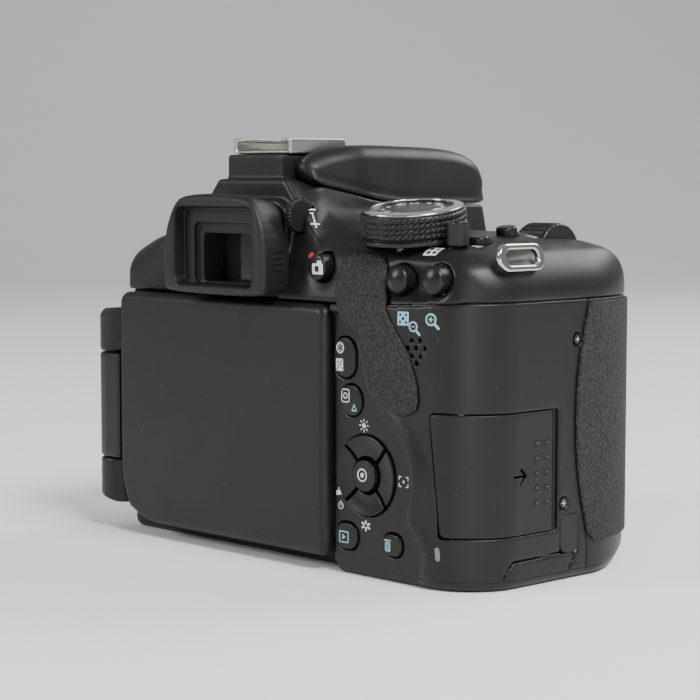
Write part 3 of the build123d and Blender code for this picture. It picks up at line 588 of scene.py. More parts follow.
LOOK = {name: finish(name, color, rough, relief, **more) for name, color, rough, relief, more in (
    ("body_plastic", (0.0088, 0.0085, 0.0080), 0.40, 0.03, dict(dust=0.35)),
    ("monitor_plastic", (0.0085, 0.0082, 0.0078), 0.44, 0.016, dict(dust=0.5)),
    ("grip_rubber", (0.034, 0.032, 0.029), 0.72, 0.09, dict(pebbles=0.68, dust=0.6)),
    ("eyecup_rubber", (0.0095, 0.0092, 0.009), 0.52, 0.02, dict(dust=0.4)),
    ("flap_rubber", (0.018, 0.0175, 0.017), 0.62, 0.02, {}),
    ("key_plastic", (0.008, 0.0078, 0.0076), 0.33, 0.012, {}),
    ("dial_plastic", (0.011, 0.011, 0.011), 0.30, 0.01, {}),
    ("inner_plastic", (0.010, 0.010, 0.010), 0.62, 0.02, {}),
    ("mount_steel", (0.60, 0.59, 0.57), 0.24, 0.004, dict(metal=1.0, grain=0.2, tint=0.08)),
    ("shoe_steel", (0.47, 0.455, 0.43), 0.30, 0.01, dict(metal=1.0, grain=0.5, tint=0.35)),
    ("lug_chrome", (0.62, 0.61, 0.59), 0.12, 0.003, dict(metal=1.0, tint=0.06)),
    ("screw_steel", (0.05, 0.05, 0.05), 0.35, 0.006, dict(metal=1.0)),
    ("socket_steel", (0.52, 0.51, 0.50), 0.30, 0.006, dict(metal=1.0, tint=0.1)),
    ("hinge_metal", (0.010, 0.0098, 0.0095), 0.42, 0.012, {}),
    ("screen_glass", (0.006, 0.006, 0.008), 0.07, 0.001, dict(coat=0.6, tint=0.1)),
    ("mirror", (0.86, 0.87, 0.88), 0.03, 0.0005, dict(metal=1.0, tint=0.02)),
    # clear_lens has painted shade and reflection: the dark, slightly warm base colour stands in for the
    # shaded finder interior seen through the glass and its faint amber reflection.
    ("clear_lens", (0.012, 0.011, 0.010), 0.04, 0.0005, dict(coat=1.0, tint=0.3)),
    ("frosted", (0.55, 0.55, 0.53), 0.55, 0.004, dict(tint=0.05)),
    ("board", (0.012, 0.07, 0.03), 0.45, 0.02, {}),
    ("sensor", (0.02, 0.03, 0.045), 0.10, 0.001, dict(coat=0.5)),
    ("battery_plastic", (0.03, 0.03, 0.032), 0.42, 0.015, {}),
    ("card_plastic", (0.02, 0.02, 0.03), 0.40, 0.01, {}),
)}
WHITE = finish("mark_white", (0.62, 0.61, 0.58), 0.50, 0.004, tint=0.06)
BLUE = finish("mark_blue", (0.22, 0.45, 0.52), 0.50, 0.004, tint=0.06)
RED = finish("mark_red", (0.42, 0.03, 0.025), 0.45, 0.004, tint=0.06)
BRIGHT = finish("worn_edge", (0.60, 0.59, 0.57), 0.22, 0.004, metal=1.0, tint=0.1)


def dress(piece, slot, look=None):
    piece.data.materials.clear()
    piece.data.materials.append(look or LOOK[slot])
    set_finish(piece, slot)
    return piece


def skin(name, nodes, field, low, high, voxel, slot="body_plastic", body="body", look=None):
    """A detailed piece that stands for CAD nodes."""
    piece = mesh_field(name, field, low, high, voxel, body)
    if nodes:
        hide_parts(*nodes)
    return dress(piece, slot, look)


SLOT_OF = {entry["node"]: entry["material_slot"] for entry in frame["record"]["subparts"]}
BODY_OF = {member: piece["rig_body"] for member, piece in frame["nodes"].items()}


def soften(node, voxel, rounds, extra=None):
    """The CAD node's own form with worn, rounded edges."""
    mesh = frame["nodes"][node].data
    mesh.calc_loop_triangles()
    points = np.array([v.co for v in mesh.vertices], np.float32) / (MM * voxel)
    low = np.floor(points.min(0)).astype(int) - 5
    counts = np.ceil(points.max(0)).astype(int) + 5 - low
    triangles = np.array([t.vertices for t in mesh.loop_triangles], np.uint32)
    level = vdb.FloatGrid.createLevelSetFromPolygons(points - low, triangles=triangles, halfWidth=4.0)
    values = np.full(tuple(counts), 4.0, np.float32)
    level.copyToArray(values)
    for _ in range(rounds):
        for axis in range(3):
            values = (np.roll(values, 1, axis) + 2 * values + np.roll(values, -1, axis)) / 4
    if extra is not None:
        values = extra(values * voxel, axes(low * voxel, counts, voxel)) / voxel
    points, faces = polygons(np.clip(values, -3, 3), 3.0)
    piece = add_piece(node + "_soft", ((points + low) * voxel * MM).tolist(), faces, BODY_OF[node])
    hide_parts(node)
    return dress(piece, SLOT_OF[node])


# ---- Covers and rubbers ----
rear = skin("rear_skin", ["rear_cover"], rear_field, (-77, -8.6, 2), (50.5, 33, 64), VOXEL)
skin("front_skin", ["front_cover"], front_field, (-77, -41.5, 2), (50.5, -8.3, 64), VOXEL)
top = skin("top_skin", ["top_cover"], top_field, (-77, -41.5, 61), (50.5, 30, 96), VOXEL)
skin("bottom_skin", ["bottom_cover"], base_field, (-77, -41.5, -0.2), (50.5, 30, 7.4), VOXEL)
skin("card_door_skin", ["card_door"], door_field, (-77.4, 3, 11), (-63, 31, 39.5), 0.26,
     "body_plastic", "card_door")


def grip_field(p):
    """The rubber sheet round the grip."""
    x, y, z = p
    form = lower_form(p)
    back = y + 4.0 + 5 * ((z - 36) / 28) ** 2
    edges = rmax(rmax(back, 7.8 - z, 3.0), z - seam_height(x) + 0.5, 0.6)
    edges = rmax(edges, x + 44.5, 0.6)
    return rmax(rmax(form - 0.75, edges, 0.5), 0.02 - form, 0.05)


skin("grip_skin", ["grip_rubber"], grip_field, (-77.6, -42.5, 7), (-43, -5, 64), 0.36, "grip_rubber")

THUMB = smooth_outline([
    (-48.6, 72.4), (-43.0, 73.4), (-34.4, 73.2), (-33.2, 64.8), (-36.6, 58.4), (-42.6, 55.9), (-46.0, 50.0),
    (-46.8, 44.2), (-48.0, 38.6), (-51.0, 37.2), (-59.6, 38.4), (-60.9, 42.6), (-58.6, 51.2), (-55.0, 56.4),
    (-52.0, 60.6), (-49.4, 67.0),
], 1)


def thumb_field(p):
    """The rubber pad under the thumb."""
    x, y, z = p
    form = rmin(lower_form(p) + np.maximum(z - 61.5, 0) * 0.9, crown_form(p), 1.0)
    pad = rmax(form - 0.8, outline_field(x, z, THUMB), 0.55)
    return np.maximum(np.maximum(pad, 0.02 - form), 20 - y)


skin("thumb_rest_skin", ["thumb_rest_rubber"], thumb_field, (-62, 22, 36), (-31, 36, 73), 0.3, "grip_rubber")


# ---- Finder, eyecup, shoe and flash ----
EYECUP = smooth_outline([
    (-17.0, 62.5), (17.0, 62.5), (18.3, 64.2), (18.5, 75.5), (15.4, 83.4), (11.4, 86.4), (-11.4, 86.4),
    (-15.4, 83.4), (-18.5, 75.5), (-18.3, 64.2),
])


def eyecup_field(p):
    x, y, z = p
    taper = np.clip((y - 28.1) / 9.9, 0, 1)
    outer = outline_field(x, z, EYECUP) + 1.6 * (1 - taper) ** 2
    form = rmax(rmax(outer, y - 38.0 + 0.00144 * (z - 72) ** 2, 1.5), 28.15 - y, 0.5)
    well = pill_field(p, 0, 74.0, 29.0, 18.8, 2.6) + 0.12 * (38 - y)
    form = cut(form, np.maximum(well, 34.4 - y), 0.8)
    frame_well = pill_field(p, 0, 72.2, 21.4, 14.4, 1.6)
    form = cut(form, np.maximum(frame_well, 33.0 - y), 0.3)
    form = cut(form, pill_field(p, 0, EYE_Z - 0.4, 17.4, 11.4, 1.2), 0.3)
    for step in range(6):
        level = 65.6 + 1.35 * step
        rib = capsule_field(p, (-17.75, 30.8, level), (-18.7, 35.2, level), 0.45)
        form = cut(form, rib, 0.15)
    return form


skin("eyecup_skin", ["eyecup"], eyecup_field, (-19.5, 28, 61.5), (19.5, 38.4, 87.3), 0.26, "eyecup_rubber")


HEAD = smooth_outline([
    (20.8, 91.8), (20.0, 94.2), (16.6, 96.0), (11.0, 97.4), (4.0, 98.0), (-12.0, 97.7), (-24.0, 97.3),
    (-31.5, 96.1), (-36.2, 93.4), (-38.5, 89.4), (-37.6, 86.2), (-35.2, 83.6), (-23.0, 83.5), (-5.0, 83.8),
    (5.0, 85.2), (12.5, 87.2), (18.6, 88.6),
])


def flash_field(p):
    """The pop-up head with its overhang and the two arms beside the shoe."""
    x, y, z = p
    side = np.abs(x) - 20.4 + waist(y) + 0.2 * (z - 84)
    side = rmax(side, 0.7071 * (np.abs(x) - y - 57.2), 5.0)
    profile = outline_field(y, z, HEAD)
    low = np.clip((np.interp(y, *HEAD_SEAM) + 3.5 - z) / 2.5, 0, 1)
    form = rmax(side, profile, 3.4) * (1 - low) + np.maximum(side, profile) * low
    under = box_field(p, (-16.6, -33.0, 80), (16.6, -2.5, 89.4), 1.5)
    form = cut(form, under, 0.6)
    channel = box_field(p, (-10.6, 0.9, 80), (10.6, 40, 110), 0.4)
    return cut(form, channel, 0.3)


skin("flash_skin", ["flash_housing"], flash_field, (-20.8, -38.8, 83.2), (20.8, 22, 99.4), 0.32,
     "body_plastic", "flash")


def hinge_extra(d, p):
    """The knuckles' ends slope towards the hinge side."""
    x, _, z = p
    slope = 0.88 * (z - 58.6 + 0.55 * (x - 47.8))
    cap = rmax(rod_field(p, (HINGE_X, HINGE_Y, 54), (0, 0, 1), 5.4, 5.4), slope, 0.6)
    foot = rmax(rod_field(p, (HINGE_X, HINGE_Y, 6.4), (0, 0, 1), 5.4, 4.0), 7.1 + 0.26 * (x - 48) - z, 0.6)
    return np.minimum(rmax(rmin(d, cap, 0.1), slope, 0.6), foot)


for node, voxel, rounds in (
    ("hot_shoe_rails", 0.2, 2), ("lens_mount_ring", 0.3, 1), ("dc_cord_flap", 0.14, 2),
    ("terminal_cover", 0.2, 3), ("battery_latch", 0.16, 2), ("monitor_arm", 0.28, 4),
    ("monitor_bezel", 0.34, 2), ("lens_release_button", 0.2, 3), ("depth_preview_button", 0.16, 3),
    ("flash_button", 0.16, 3), ("menu_button", 0.16, 3), ("info_button", 0.16, 3), ("tripod_socket", 0.2, 1),
    ("display_button", 0.14, 3), ("iso_button", 0.14, 3), ("lens_lock_pin", 0.12, 2),
):
    soften(node, voxel, rounds)
soften("hinge_base", 0.28, 3, hinge_extra)
soften("battery_door", 0.22, 2, lambda d, p: rmax(rmax(d, lower_form(p), 0.3), inset_plan(p, 4.45), 0.3))

LUG_LEAN = 0.22
LUGS = (((-75.3, 13.2, 72.9), -1), ((49.9, 6.0, 66.4), 1))  # their middles, and the side they face


def lug_field(p):
    """Two flat rings with a slot, which lean outwards."""
    x, y, z = p
    form = None
    for at, side in LUGS:
        w = ((x - at[0]) * side + (z - at[2]) * LUG_LEAN) / math.hypot(1, LUG_LEAN)
        v = ((z - at[2]) - (x - at[0]) * side * LUG_LEAN) / math.hypot(1, LUG_LEAN)
        outer = np.hypot(np.maximum(np.abs(y - at[1]) - 4.4, 0), np.maximum(np.abs(v) - 0.2, 0)) - 2.9
        hole = np.hypot(np.maximum(np.abs(y - at[1]) - 3.6, 0), v) - 1.7
        ring = cut(rmax(outer, np.abs(w + 0.2) - 0.8, 0.5), hole, 0.45)
        form = ring if form is None else np.minimum(form, ring)
    return form


def lug(name, x_range, z_range, nodes):
    low, high = (x_range[0], -2, z_range[0]), (x_range[1], 21, z_range[1])
    skin(name, nodes, lug_field, low, high, 0.16, "lug_chrome")


lug("strap_lug_grip_side", (-78, -72), (69, 77), ["strap_lugs"])
lug("strap_lug_hinge_side", (47, 53), (62, 71), [])


def monitor_field(p):
    """The monitor's outer shell, slightly domed, with a cut corner and a finger notch."""
    low, high = corner("monitor_back_shell")
    x, y, z = p
    swell = high[1] - 0.00021 * ((x - 5.5) ** 2 + (z - 33) ** 2)
    plate = box_field(p, (low[0], low[1] - 4, low[2]), (high[0], high[1] + 4, high[2]), 3.0)
    plate = rmax(plate, (x - high[0] + low[2] - z + 5.2) * 0.7071, 7.0)
    form = rmax(plate, y - swell, 2.0)
    form = rmax(form, low[1] + 0.02 - y, 0.3)
    notch = capsule_field(p, (low[0] - 1.4, low[1] - 0.6, 24), (low[0] - 1.4, low[1] - 0.6, 42), 2.2)
    form = cut(form, notch, 0.8)
    return cut(form, np.maximum(np.abs(y - low[1] - 2.2) - 0.14, -0.25 - plate), 0.1)


skin("monitor_skin", ["monitor_back_shell"], monitor_field, (-32.6, 24, 3.6), (43.6, 32.6, 62), 0.34,
     "monitor_plastic", "monitor")


# ---- Dials ----
def spin_frame(axis):
    axis = np.array(axis, float) / np.linalg.norm(axis)
    side = np.cross((0, 1, 0) if abs(axis[1]) < 0.8 else (1, 0, 0), axis)
    side /= np.linalg.norm(side)
    return side, np.cross(axis, side), axis


def turned(p, foot, axis):
    """Radius, angle and height of points about an axis."""
    u, v, w = spin_frame(axis)
    q = [c - f for c, f in zip(p, foot)]
    a, b, h = (sum(c * e for c, e in zip(q, d)) for d in (u, v, w))
    return np.hypot(a, b), np.arctan2(b, a), h


def dial_field(p):
    """The mode dial: a foot, a neck, a knurled band and a hollow top."""
    r, turn, h = turned(p, DIAL_AT, DECK_NORMAL)
    base = rmax(r - 12.35, h - 1.5, 0.3)
    along, up = turn * 54 / (2 * math.pi), (h - 1.75) / 1.22
    cell = np.maximum(np.abs((along % 1) - 0.5), np.abs((up % 1) - 0.5))
    knurl = 0.55 * np.clip((0.5 - cell) * 4.5, 0, 1)
    grip_band = rmax(r - 11.5 - knurl * np.where(np.abs(h - 4.19) < 2.44, 1.0, 0.0), h - 7.4, 0.35)
    neck = np.where(np.abs(h - 1.55) < 0.22, r - 11.4, -1.0)
    form = np.maximum(np.minimum(base, np.maximum(grip_band, 1.5 - h)), neck)
    form = cut(form, rmax(r - 9.0, 7.0 - h + 0.0036 * (81 - np.minimum(r, 9) ** 2), 0.2), 0.25)
    return np.maximum(form, 0.35 - h)


dial_low, dial_high = corner("mode_dial")
dial = skin("mode_dial_skin", ["mode_dial"], dial_field, dial_low, dial_high, 0.2,
            "dial_plastic", "mode_dial")


def rim_field(p):
    r, _, h = turned(p, DIAL_AT, DECK_NORMAL)
    return rmax(np.abs(r - 10.3) - 1.15, np.abs(h - 7.3 + 0.12 * (r - 10.3)) - 0.32, 0.2)


skin("mode_dial_rim", [], rim_field, dial_low, dial_high + 0.4, 0.16, "lug_chrome", "mode_dial")


def toothed(p, at, count):
    """Radius about an axis along X, and a wave that runs from 0 to 1 and back once a tooth."""
    turn = np.arctan2(p[2] - at[2], p[1] - at[1])
    wave = np.abs(((turn * count / (2 * math.pi)) % 1) - 0.5) * 2
    return np.hypot(p[1] - at[1], p[2] - at[2]), wave


wheel_low, wheel_high = corner("main_dial")
knob_low, knob_high = corner("diopter_knob")


def wheel_field(p):
    r, wave = toothed(p, WHEEL, 34)
    reach = np.abs(p[0] - WHEEL[0]) - (wheel_high[0] - wheel_low[0]) / 2
    return rmax(r - 6.95 + 0.42 * wave ** 0.7 * np.where(reach < -0.9, 1.0, 0.3), reach, 0.8)


skin("main_dial_skin", ["main_dial"], wheel_field, wheel_low, wheel_high, 0.2, "dial_plastic", "main_dial")


def knob_field(p):
    r, wave = toothed(p, middle("diopter_knob"), 26)
    return rmax(r - 4.05 + 0.36 * wave, np.maximum(KNOB_FACE - p[0], p[0] - knob_high[0]), 0.4)


skin("diopter_skin", ["diopter_knob"], knob_field, knob_low, knob_high, 0.14, "dial_plastic", "diopter_knob")
soften("power_switch", 0.14, 4, lambda d, p: rmax(d, p[2] - 80.6 + 0.1 * (p[0] + 62), 0.8))


# ---- Keys ----
def rear_key(node, radius, crown, drop):
    """A key on the back, with a domed or hollow face below its CAD height."""
    low, high = corner(node)
    at, size = (low + high) / 2, high - low

    def field(p):
        side = pill_field(p, at[0], at[2], size[0], size[2], radius)
        rise = ((p[0] - at[0]) / size[0]) ** 2 + ((p[2] - at[2]) / size[2]) ** 2
        return rmax(rmax(side, p[1] - high[1] + drop + crown * rise, 0.4), low[1] - p[1], 0.2)

    return skin(node + "_skin", [node], field, low, high, 0.15, "key_plastic", BODY_OF[node])


keys = {node: rear_key(node, r, c, d) for node, r, c, d in (
    ("exposure_button", 3.4, 0.4, 0.95), ("quick_button", 3.0, 0.4, 0.95),
    ("playback_button", 2.9, 0.4, 0.95), ("erase_button", 2.3, 0.4, 0.95), ("live_view_button", 3.1, 1.2, 0),
    ("ae_lock_button", 3.2, 4.6, 0), ("af_point_button", 3.2, 4.6, 0), ("set_button", 3.5, -0.8, 1.15),
)}


def cross_key(node, turn):
    """One quarter of the ring of cross keys."""
    low, high = corner(node)

    def field(p):
        dx, dz = p[0] - CROSS[0], p[2] - CROSS[2]
        r = np.hypot(dx, dz)
        c, s = math.cos(turn), math.sin(turn)
        along, across = dx * c + dz * s, -dx * s + dz * c
        sector = 0.7071 * (np.abs(across) - along) + 0.42
        ring = rmax(r - CROSS_R + 0.05, 4.35 - r, 0.3)
        height = high[1] - 1.85 + 0.6 * np.clip((r - 5.6) / 3.2, 0, 1) ** 1.6
        key = rmax(rmax(ring, sector, 0.3), p[1] - height, 0.25)
        return rmax(key, low[1] - p[1], 0.2)

    return skin(node + "_skin", [node], field, low, high, 0.15, "key_plastic", BODY_OF[node])


for node in ("cross_key_up", "cross_key_down", "cross_key_left", "cross_key_right"):
    aside = middle(node) - CROSS
    cross_key(node, math.radians(90 * round(math.degrees(math.atan2(aside[2], aside[0])) / 90)))
soften("shutter_button", 0.16, 5)


# ---- Printed marks, as thin pieces that lie on the surfaces ----
def seg(u, v, a, b, width=0.17):
    ex, ey = b[0] - a[0], b[1] - a[1]
    t = np.clip(((u - a[0]) * ex + (v - a[1]) * ey) / (ex * ex + ey * ey), 0, 1)
    return np.hypot(u - a[0] - ex * t, v - a[1] - ey * t) - width


def disc(u, v, at=(0, 0), r=0.5):
    return np.hypot(u - at[0], v - at[1]) - r


def loop(u, v, at=(0, 0), r=1.0, width=0.15):
    return np.abs(disc(u, v, at, r)) - width


def block(u, v, at=(0, 0), size=(1, 1), r=0.15):
    qu, qv = np.abs(u - at[0]) - size[0] / 2 + r, np.abs(v - at[1]) - size[1] / 2 + r
    return np.hypot(np.maximum(qu, 0), np.maximum(qv, 0)) + np.minimum(np.maximum(qu, qv), 0) - r


def frame_of(u, v, at=(0, 0), size=(1, 1), width=0.15, r=0.3):
    return np.abs(block(u, v, at, size, r)) - width


def any_of(*fields):
    return np.minimum.reduce(np.broadcast_arrays(*fields))


def less(a, *others):
    return np.maximum(a, -any_of(*others))


def strokes(u, v, *parts):
    """Several straight strokes, each with its two ends and its half width."""
    return any_of(*[seg(u, v, *part) for part in parts])


def plus(u, v, at=(0, 0), r=0.6, width=0.16):
    a, b = at
    return strokes(u, v, ((a - r, b), (a + r, b), width), ((a, b - r), (a, b + r), width))


def rays(u, v, count, near, far, width=0.14, start=0.0, squash=(1.0, 1.0)):
    """Strokes that run outwards from a ring, which may be squashed at either end."""
    parts = []
    for k in range(count):
        c, s = math.cos(start + 2 * math.pi * k / count), math.sin(start + 2 * math.pi * k / count)
        parts.append(((near * c, near * squash[0] * s), (far * c, far * squash[1] * s), width))
    return strokes(u, v, *parts)


def triangle(u, v, r=1.0, turn=0.0):
    c, s = math.cos(turn), math.sin(turn)
    a, b = u * c + v * s, -u * s + v * c
    return np.maximum(-a - r * 0.5, np.maximum(0.5 * a + 0.866 * b, 0.5 * a - 0.866 * b) - r * 0.5)


def sliders(u, v):
    """A scale from minus to plus."""
    bar = strokes(u, v, ((-1.1, 2.7), (1.1, 2.7), 0.26), ((0, 1.6), (0, -0.4), 0.22),
                  ((-0.5, 1.7), (0.3, 1.7), 0.2))
    return any_of(bar, plus(u, v, (0, -1.9), 1.1, 0.26))


def stills(u, v):
    """A camera."""
    shape = any_of(block(u, v, (0, -0.3), (3.4, 2.5), 0.3), block(u, v, (0.55, 1.1), (1.4, 1.0), 0.2))
    return less(shape, block(u, v, (-0.2, -0.3), (1.3, 1.3), 0.2))


def four_cells(u, v):
    cells = [block(u, v, (a, b), (1.05, 1.05), 0.1) for a in (-0.8, 0.8) for b in (-0.8, 0.8)]
    return less(block(u, v, (0, 0), (3.8, 3.8), 0.4), *cells)


def thumbnails(u, v):
    dots = [disc(u, v, (a, b), 0.33) for a in (-0.85, 0.85) for b in (-0.85, 0.85)]
    return less(block(u, v, (0, 0), (3.2, 3.2), 0.15), disc(u, v, (0, 0), 0.42), *dots)


def lens_minus(u, v):
    lines_in = strokes(u, v, ((0.5, -0.5), (1.5, -1.5), 0.3), ((-0.75, 0.3), (0.15, 0.3), 0.12))
    return any_of(loop(u, v, (-0.3, 0.3), 1.05, 0.2), lines_in)


def lens_plus(u, v):
    handle = seg(u, v, (0.7, -0.7), (1.7, -1.7), 0.32)
    return any_of(loop(u, v, (-0.3, 0.3), 1.25, 0.22), handle, plus(u, v, (-0.3, 0.3), 0.55, 0.14))


def iris(u, v):
    blades = less(rays(u, v, 6, 0.35, 1.1, 0.1), disc(u, v, (0, 0), 0.35))
    return any_of(loop(u, v, (0, 0), 1.15, 0.16), blades)


def compensation(u, v):
    scale = strokes(u, v, ((-1.0, -1.2), (1.0, 1.2), 0.13), ((0.25, -0.75), (0.85, -0.75), 0.1))
    return less(block(u, v, (0, 0), (2.5, 3.0), 0.2), scale, plus(u, v, (-0.55, 0.65), 0.32, 0.1))


def target_box(u, v):
    return any_of(frame_of(u, v, (0, 0), (2.6, 3.0), 0.15, 0.5), loop(u, v, (0, 0), 0.62, 0.15))


def tray(u, v):
    return strokes(u, v, ((-0.7, -0.5), (0, 0.9), 0.15), ((0, 0.9), (0.7, -0.5), 0.15),
                   ((-0.9, -0.9), (0.9, -0.9), 0.2))


def sun(u, v):
    return any_of(disc(u, v, (0, 0), 0.62), rays(u, v, 8, 1.05, 1.55, 0.14))


def corners(u, v):
    parts = []
    for a, b in ((-1, -1), (-1, 1), (1, -1), (1, 1)):
        parts.append(((1.45 * a, 1.15 * b), (0.8 * a, 1.15 * b), 0.15))
        parts.append(((1.45 * a, 1.15 * b), (1.45 * a, 0.5 * b), 0.15))
    return any_of(disc(u, v, (0, 0), 0.34), strokes(u, v, *parts))


def burst(u, v):
    back = frame_of(u, v, (0.35, 0.4), (1.9, 1.5), 0.13, 0.2)
    return any_of(back, block(u, v, (-0.3, -0.3), (1.9, 1.4), 0.2))


def timer(u, v):
    hands = strokes(u, v, ((0, 0), (0.45, 0.55), 0.13), ((0, 1.2), (0, 1.6), 0.16))
    return any_of(loop(u, v, (0, 0), 1.05, 0.16), hands)


def petals(u, v):
    return rays(u, v, 6, 0.75, 1.4, 0.27, math.pi / 2, (0.6 / 0.75, 1.1 / 1.4))


def centre_dot(u, v):
    return any_of(loop(u, v, (0, 0), 1.35, 0.17), disc(u, v, (0, 0), 0.55))


def play(u, v):
    return any_of(frame_of(u, v, (0, 0), (3.1, 2.7), 0.16, 0.15), triangle(u + 0.15, v, 0.85))


def bin_mark(u, v):
    slats = strokes(u, v, *[((a, -1.2), (a, 0.4), 0.11) for a in (-0.45, 0, 0.45)])
    side = less(block(u, v, (0, -0.4), (1.9, 2.5), 0.25), slats)
    return any_of(side, seg(u, v, (-1.3, 1.3), (1.0, 1.3), 0.18))


def lines(u, v):
    return strokes(u, v, *[((-1.0, b), (1.0, b), 0.16) for b in (-0.8, 0, 0.8)])


def steps(u, v):
    places = [-1.2 + 0.8 * k for k in range(4)]
    return strokes(u, v, *[((a, -0.6), (a, -0.3 + 0.35 * k), 0.2) for k, a in enumerate(places)])


def spark(u, v):
    return rays(u, v, 6, 0.0, 0.85, 0.13)


def spot(u, v):
    return disc(u, v, (0, 0), 0.8)


def bolt(u, v):
    return strokes(u, v, ((0.35, 1.3), (-0.45, 0.05), 0.18), ((-0.45, 0.05), (0.4, -0.05), 0.16),
                   ((0.4, -0.05), (-0.35, -1.3), 0.18))


def mark(name, shape, half, near, target, look, up=(0, 0, 1), start=None, size=1.0):
    """A printed mark where the view through a point near it meets the target's surface."""
    bpy.context.view_layer.update()
    origin = Vector(EYE * MM) if start is None else Vector(np.array(start, float) * MM)
    heading = (Vector(np.array(near, float) * MM) - origin).normalized()
    found, place, normal, _ = target.ray_cast(origin, heading)
    if not found:
        print("no surface under mark", name)
        return
    if normal.dot(heading) > 0:
        normal = -normal
    v_axis = (Vector(up) - normal * Vector(up).dot(normal)).normalized()
    u_axis = v_axis.cross(normal)
    voxel = 0.08
    count = int(math.ceil(half / voxel)) + 3
    u = (np.arange(-count, count + 1) * voxel / size).reshape(-1, 1, 1)
    v = (np.arange(-count, count + 1) * voxel / size).reshape(1, -1, 1)
    w = (np.arange(-3, 4) * voxel).reshape(1, 1, -1)
    values = np.maximum(shape(u, v) * size + 0 * w, np.abs(w) - 1.2 * voxel)
    points, faces = polygons(np.clip(values, -3 * voxel, 3 * voxel), 3 * voxel)
    verts = []
    for a, b, c in points:
        a, b, c = (a - count) * voxel * MM, (b - count) * voxel * MM, (c - 3) * voxel * MM
        over = place + u_axis * a + v_axis * b + normal * 0.0015
        hit, spot_at, _, _ = target.ray_cast(over, -normal, distance=0.004)
        base = spot_at if hit else place + u_axis * a + v_axis * b
        verts.append(tuple(base + normal * (c * 0.5)))
    piece = add_piece(name, verts, faces, target["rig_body"])
    piece.data.materials.append(look)
    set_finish(piece, target["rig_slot"])


for name, shape, half, near, target, look, size in (
    ("mark_diopter", sliders, 3.4, (-24.4, 27.6, 80.9), top, WHITE, 0.9),
    ("mark_record", spot, 1.0, (-23.4, 27.5, 72.3), top, RED, 1.0),
    ("mark_live_view", stills, 2.2, (-26.8, 28.7, 69.6), keys["live_view_button"], WHITE, 1.0),
    ("mark_points", four_cells, 2.2, (-62.2, 27.0, 74.4), top, WHITE, 1.0),
    ("mark_lock", spark, 1.2, (-52.0, 27.0, 74.4), top, WHITE, 1.0),
    ("mark_thumbnails", thumbnails, 1.9, (-55.4, 29.5, 59.4), rear, BLUE, 0.95),
    ("mark_reduce", lens_minus, 2.0, (-58.8, 29.5, 57.5), rear, BLUE, 0.95),
    ("mark_enlarge", lens_plus, 2.3, (-64.2, 29.5, 59.3), rear, BLUE, 0.95),
    ("mark_iris", iris, 1.4, (-35.3, 29.5, 51.8), keys["exposure_button"], WHITE, 1.0),
    ("mark_exposure", compensation, 1.8, (-35.1, 29.5, 47.9), keys["exposure_button"], WHITE, 0.95),
    ("mark_quick", target_box, 1.8, (-37.0, 29.5, 41.0), keys["quick_button"], WHITE, 0.95),
    ("mark_tray", tray, 1.3, (-39.9, 29.5, 38.5), keys["quick_button"], BLUE, 0.8),
    ("mark_sun", sun, 1.9, (-42.6, 29.0, 34.6), rear, WHITE, 0.95),
    ("mark_focus", corners, 1.8, (-55.4, 29.2, 23.2), rear, WHITE, 0.95),
    ("mark_burst", burst, 1.6, (-35.2, 29.2, 18.9), rear, WHITE, 0.75),
    ("mark_timer", timer, 1.8, (-35.2, 29.2, 15.6), rear, WHITE, 0.7),
    ("mark_style", petals, 1.9, (-43.2, 29.0, 11.9), rear, WHITE, 0.95),
    ("mark_set", centre_dot, 1.7, (-42.6, 29.6, 23.4), keys["set_button"], WHITE, 1.0),
    ("mark_play", play, 1.9, (-36.6, 29.6, 8.6), keys["playback_button"], BLUE, 0.9),
    ("mark_bin", bin_mark, 1.7, (-50.8, 29.6, 8.5), keys["erase_button"], BLUE, 0.85),
):
    mark(name, shape, half * 1.05, near, target, look, size=size)
for name, shape, at, target in (
    ("mark_display", lines, (-64.6, 15.6, 78), top), ("mark_iso", steps, (-63.4, -3.6, 78), top),
    ("mark_menu", lines, (38.5, 19.6, 76), top), ("mark_info", spark, (46.3, 19.6, 72), top),
):
    mark(name, shape, 1.6, at, target, WHITE, up=(0, -1, 0.3), start=(at[0], at[1], 120), size=0.9)
side, other, axis = spin_frame(DECK_NORMAL)
DIAL_MARKS = (spot, triangle, sun, lines, bolt, plus, stills, steps, petals, spot, corners, timer)
for k, shape in enumerate(DIAL_MARKS):
    turn = 2 * math.pi * k / len(DIAL_MARKS) + 0.2
    outwards = (side * math.cos(turn) + other * math.sin(turn)) * 6.7
    at = DIAL_AT + axis * 7.0 + outwards
    mark("mark_dial_%02d" % k, shape, 1.9, at, dial, BLUE if k == 3 else WHITE,
         up=tuple(outwards), start=at + axis * 20, size=0.62)


# ---- Small pieces that only the picture needs ----
for k, (sy, sz) in enumerate(SCREWS):
    def cross_field(p, sy=sy, sz=sz):
        slots = plus(p[1] - sy, p[2] - sz, (0, 0), 0.55, 0.13)
        return np.maximum(slots, np.abs(p[0] - GRIP_SIDE - 0.06) - 0.09)

    low, high = (GRIP_SIDE - 0.2, sy - 1, sz - 1), (GRIP_SIDE + 0.3, sy + 1, sz + 1)
    skin("screw_recess_%d" % k, [], cross_field, low, high, 0.07, "screw_steel", look=BRIGHT)


def lamp_field(p):
    window = capsule_field(p, (-65.4, 28.9, 9.2), (-65.6, 28.9, 7.3), 0.62)
    return rmax(window, lower_form(p) - 0.10, 0.1)


skin("access_lamp", [], lamp_field, (-67, 27, 5.8), (-64, 30, 10.8), 0.12, "frosted",
     look=finish("lamp_window", (0.16, 0.15, 0.13), 0.35, 0.004))


def lip_field(p):
    """The lip inside the top seam, which closes the gap between the covers."""
    inner = lower_form(p) + 0.7
    return np.maximum(np.maximum(inner, -inner - 1.0), np.abs(p[2] - seam_height(p[0]) + 0.5) - 0.9)


skin("seam_lip", [], lip_field, (GRIP_SIDE, GRIP_FRONT, 59.5), (HINGE_SIDE, BACK, 64.5), 0.4)


